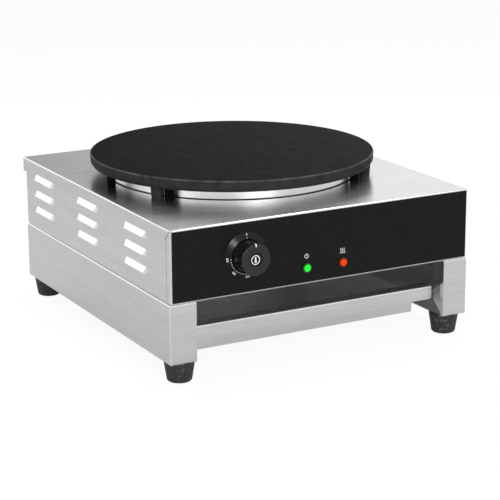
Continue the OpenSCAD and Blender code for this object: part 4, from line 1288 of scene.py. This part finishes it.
class HeadTree:
    """Geometry Nodes tree that puts a screw with a cross recess on every point of a mesh."""

    sizes = ("Head radius", "Head height", "Shank radius", "Shank length", "Recess width", "Recess depth")
    sides = 28

    def __init__(self):
        self.tree = bpy.data.node_groups.new("Recessed Screws", "GeometryNodeTree")
        interface = self.tree.interface
        interface.new_socket("Geometry", in_out="INPUT", socket_type="NodeSocketGeometry")
        self.sockets = {}
        for label in self.sizes:
            socket = interface.new_socket(label, in_out="INPUT", socket_type="NodeSocketFloat")
            socket.default_value = 2 * MM
            socket.min_value = 0.0
            self.sockets[label] = socket.identifier
        material = interface.new_socket("Material", in_out="INPUT", socket_type="NodeSocketMaterial")
        self.sockets["Material"] = material.identifier
        interface.new_socket("Geometry", in_out="OUTPUT", socket_type="NodeSocketGeometry")
        self.given = self.add("NodeGroupInput").outputs
        spread = self.add("GeometryNodeInstanceOnPoints")
        facing = self.add("GeometryNodeInputNamedAttribute")
        facing.data_type = "FLOAT_VECTOR"
        facing.inputs["Name"].default_value = "facing"
        align = self.add("FunctionNodeAlignRotationToVector")
        align.axis = "Z"
        realise = self.add("GeometryNodeRealizeInstances")
        dress = self.add("GeometryNodeSetMaterial")
        end = self.add("NodeGroupOutput")
        join(
            self.tree,
            (self.given["Geometry"], spread.inputs["Points"]),
            (self.screw(), spread.inputs["Instance"]),
            (facing.outputs["Attribute"], align.inputs["Vector"]),
            (align.outputs["Rotation"], spread.inputs["Rotation"]),
            (spread.outputs["Instances"], realise.inputs["Geometry"]),
            (realise.outputs["Geometry"], dress.inputs["Geometry"]),
            (self.given["Material"], dress.inputs["Material"]),
            (dress.outputs["Geometry"], end.inputs["Geometry"]),
        )

    def add(self, kind):
        return self.tree.nodes.new(kind)

    def size(self, label, factor):
        """An input times a number."""
        return maths(self.tree, "MULTIPLY", self.given[label], factor)

    def moved(self, geometry, translation=None, turn=0.0, scale=None):
        node = self.add("GeometryNodeTransform")
        node.inputs["Rotation"].default_value = (0.0, 0.0, math.radians(turn))
        self.tree.links.new(geometry, node.inputs["Geometry"])
        for label, value in (("Translation", translation), ("Scale", scale)):
            if value is not None:
                self.tree.links.new(value, node.inputs[label])
        return node.outputs["Geometry"]

    def cut(self, operation, *solids):
        """Union or intersection of solids, or the first solid less the others."""
        node = self.add("GeometryNodeMeshBoolean")
        node.operation = operation
        node.solver = "EXACT"
        waiting = list(solids)
        if operation == "DIFFERENCE":
            self.tree.links.new(waiting.pop(0), node.inputs["Mesh 1"])
        for solid in waiting:
            self.tree.links.new(solid, node.inputs["Mesh 2"])
        return node.outputs["Mesh"]

    def cylinder(self, radius, height, low):
        """Upright cylinder from a low end."""
        node = self.add("GeometryNodeMeshCylinder")
        node.inputs["Vertices"].default_value = self.sides
        join(self.tree, (radius, node.inputs["Radius"]), (height, node.inputs["Depth"]))
        half = maths(self.tree, "MULTIPLY_ADD", height, 0.5, low)
        return self.moved(node.outputs["Mesh"], combined(self.tree, 0.0, 0.0, half))

    def screw(self):
        """Domed pan head above Z = 0 with a cross cut into it, on a plain shank."""
        tree, given, overlap = self.tree, self.given, 0.2 * MM
        dome = self.add("GeometryNodeMeshUVSphere")
        dome.inputs["Segments"].default_value = self.sides
        dome.inputs["Rings"].default_value = self.sides // 2
        dome.inputs["Radius"].default_value = 1.0
        wide = self.size("Head radius", 1.12)
        domed = self.moved(dome.outputs["Mesh"], scale=combined(tree, wide, wide, given["Head height"]))
        side = self.cylinder(given["Head radius"], self.size("Head height", 2.0), 0.0)
        head = self.cut("INTERSECT", domed, side)
        shank_length = maths(tree, "ADD", given["Shank length"], overlap)
        shank = self.cylinder(given["Shank radius"], shank_length, self.size("Shank length", -1.0))
        bar = self.add("GeometryNodeMeshCube")
        long, deep = self.size("Head radius", 1.05), self.size("Recess depth", 2.0)
        tree.links.new(combined(tree, long, given["Recess width"], deep), bar.inputs["Size"])
        top = combined(tree, 0.0, 0.0, given["Head height"])
        bars = [self.moved(bar.outputs["Mesh"], top, turn) for turn in (0.0, 90.0)]
        return self.cut("DIFFERENCE", self.cut("UNION", head, shank), self.cut("UNION", *bars))


class CREPE_OT_screws(bpy.types.Operator):
    """Put screws with a cross recess where the frame has its plain ones"""

    bl_idname = "crepe.screws"
    bl_label = "Screws"

    def execute(self, context):
        detail = context.scene.crepe_detail
        heads = HeadTree()
        # Node, direction of its heads, then head radius, head height, shank radius and shank length in mm
        rows = (
            ("rear_panel_screws", (0.0, 1.0, 0.0), 4.4, 2.6, 2.4, 8.0),
            ("foot_screws", (0.0, 0.0, -1.0), 5.4, 3.0, 2.8, 30.5),
            ("frame_screws", (0.0, 0.0, -1.0), 4.6, 3.0, 2.4, 9.0),
        )
        for node, direction, head, height, shank, length in rows:
            sizes = {
                "Head radius": head * MM,
                "Head height": height * MM,
                "Shank radius": shank * MM,
                "Shank length": length * MM,
                "Recess width": detail.recess_width,
                "Recess depth": detail.recess_depth,
            }
            facing = Vector(direction)
            self.place(heads, node, self.seats(node, facing, height * MM), facing, sizes)
        return {"FINISHED"}

    def seats(self, node, facing, height):
        """Middles of the head undersides, found from the separate solids of a node."""
        bm = bmesh.new()
        bm.from_mesh(NODES[node].data)
        bmesh.ops.remove_doubles(bm, verts=bm.verts, dist=1e-6)
        found = []
        waiting = set(bm.verts)
        while waiting:
            island = [waiting.pop()]
            for vertex in island:
                for edge in vertex.link_edges:
                    other = edge.other_vert(vertex)
                    if other in waiting:
                        waiting.remove(other)
                        island.append(other)
            low = Vector([min(v.co[i] for v in island) for i in range(3)])
            high = Vector([max(v.co[i] for v in island) for i in range(3)])
            middle = (low + high) / 2
            top = max(v.co.dot(facing) for v in island) - height
            found.append(middle + facing * (top - middle.dot(facing)))
        bm.free()
        return sorted(found, key=lambda p: tuple(p))

    def place(self, heads, node, seats, facing, sizes):
        """Makes the screws of one node as a plain mesh."""
        name = f"{node}_crossed"
        mesh = bpy.data.meshes.new(name)
        mesh.from_pydata([tuple(p) for p in seats], [], [])
        attribute = mesh.attributes.new("facing", "FLOAT_VECTOR", "POINT")
        for item in attribute.data:
            item.vector = facing
        holder = held(mesh)
        modifier = holder.modifiers.new("screws", "NODES")
        modifier.node_group = heads.tree
        for label, value in sizes.items():
            modifier[heads.sockets[label]] = value
        modifier[heads.sockets["Material"]] = MATERIALS["zinc"]
        made = plain_mesh(holder)
        holder.modifiers.remove(modifier)
        bpy.data.objects.remove(holder)
        bpy.data.meshes.remove(mesh)
        if not made.polygons:
            raise RuntimeError(f"{name} has no faces")
        finish_piece(made, name, "zinc", BODY, replaces=(node,), smooth=40.0)


# ---- Cable gland ----


class CREPE_OT_gland(bpy.types.Operator):
    """Make the cable gland with its thread, its hexagon and its ribbed cap"""

    bl_idname = "crepe.gland"
    bl_label = "Cable Gland"
    points_per_rib = 12
    bore, barrel, cap = 5.2 * MM, 9.8 * MM, 11.2 * MM
    flat_from, flat_to, across_flats = 13.2 * MM, 18.2 * MM, 24.0 * MM

    def execute(self, context):
        ribs = context.scene.crepe_detail.gland_ribs
        low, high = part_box("cable_gland")
        middle = (low + high) / 2
        place = Matrix.Translation((middle.x, low.y, middle.z)) @ Matrix.Rotation(math.radians(-90), 4, "X")
        levels = self.barrel_levels() + self.cap_levels(high.y - low.y, ribs)
        segments = self.points_per_rib * ribs
        bm = bmesh.new()
        rings = [ring_of_points(bm, radius_at, height, segments) for radius_at, height in levels]
        skin(bm, [*rings, rings[0]], capped=False)
        finish_piece(
            bmesh_to_mesh(bm),
            "cable_gland_ribbed",
            "plastic",
            BODY,
            replaces=("cable_gland",),
            place=place,
        )
        return {"FINISHED"}

    def plain(self, radius):
        return lambda angle: radius

    def barrel_levels(self):
        """Threaded barrel, as rings (radius at an angle, height) from its free end to the hexagon."""
        threads, thread_depth, half_thread = 6, 0.5 * MM, 0.6 * MM
        crest, root = self.plain(self.barrel), self.plain(self.barrel - thread_depth)
        levels = [(self.plain(self.bore), 0.0), (crest, 0.0)]
        for i in range(threads):
            groove = self.flat_from * (i + 1) / (threads + 1)
            levels += [(crest, groove - half_thread), (root, groove), (crest, groove + half_thread)]
        return levels + [(crest, self.flat_from)]

    def cap_levels(self, length, ribs):
        """Hexagon and ribbed cap, as rings up to the mouth and a little way down into it."""
        plain, rib = self.plain, 0.5 * MM

        def hexagon(angle):
            return self.across_flats / 2 / math.cos((angle + math.pi / 6) % (math.pi / 3) - math.pi / 6)

        def ribbed(radius):
            return lambda angle: radius - rib * max(0.0, math.cos(ribs * angle)) ** 2

        return [
            (hexagon, self.flat_from),
            (hexagon, self.flat_to),
            (plain(self.cap), self.flat_to),
            (ribbed(self.cap), self.flat_to + 0.6 * MM),
            (ribbed(9.6 * MM), length - 3.4 * MM),
            (plain(9.0 * MM), length - 2.4 * MM),
            (plain(8.2 * MM), length - 0.8 * MM),
            (plain(7.6 * MM), length),
            (plain(6.6 * MM), length),
            (plain(6.4 * MM), length - 1.2 * MM),
            (plain(self.bore), length - 1.2 * MM),
        ]


# ---- Panel and registration ----

STEPS = ("stage", "finishes", "seal", "knob", "dial", "symbols", "screws", "gland")


class CREPE_PT_panel(bpy.types.Panel):
    """Steps that dress the crepe maker"""

    bl_label = "Crepe Maker"
    bl_idname = "CREPE_PT_panel"
    bl_space_type = "VIEW_3D"
    bl_region_type = "UI"
    bl_category = "Crepe Maker"

    def draw(self, context):
        for step in STEPS:
            self.layout.operator(f"crepe.{step}")
        for group in SETTINGS:
            box = self.layout.box()
            for key in getattr(context.scene, group).__annotations__:
                box.prop(getattr(context.scene, group), key)


SETTINGS = {
    "crepe_stage": CrepeStageSettings,
    "crepe_finish": CrepeFinishSettings,
    "crepe_control": CrepeControlSettings,
    "crepe_detail": CrepeDetailSettings,
}
CLASSES = (
    *SETTINGS.values(),
    CREPE_OT_stage,
    CREPE_OT_finishes,
    CREPE_OT_seal,
    CREPE_OT_knob,
    CREPE_OT_dial,
    CREPE_OT_symbols,
    CREPE_OT_screws,
    CREPE_OT_gland,
    CREPE_PT_panel,
)


def register():
    for cls in CLASSES:
        bpy.utils.register_class(cls)
    for name, cls in SETTINGS.items():
        setattr(bpy.types.Scene, name, PointerProperty(type=cls))


def unregister():
    for name in SETTINGS:
        delattr(bpy.types.Scene, name)
    for cls in reversed(CLASSES):
        bpy.utils.unregister_class(cls)


def main():
    register()
    for step in STEPS:
        getattr(bpy.ops.crepe, step)()


if __name__ == "__main__":
    main()
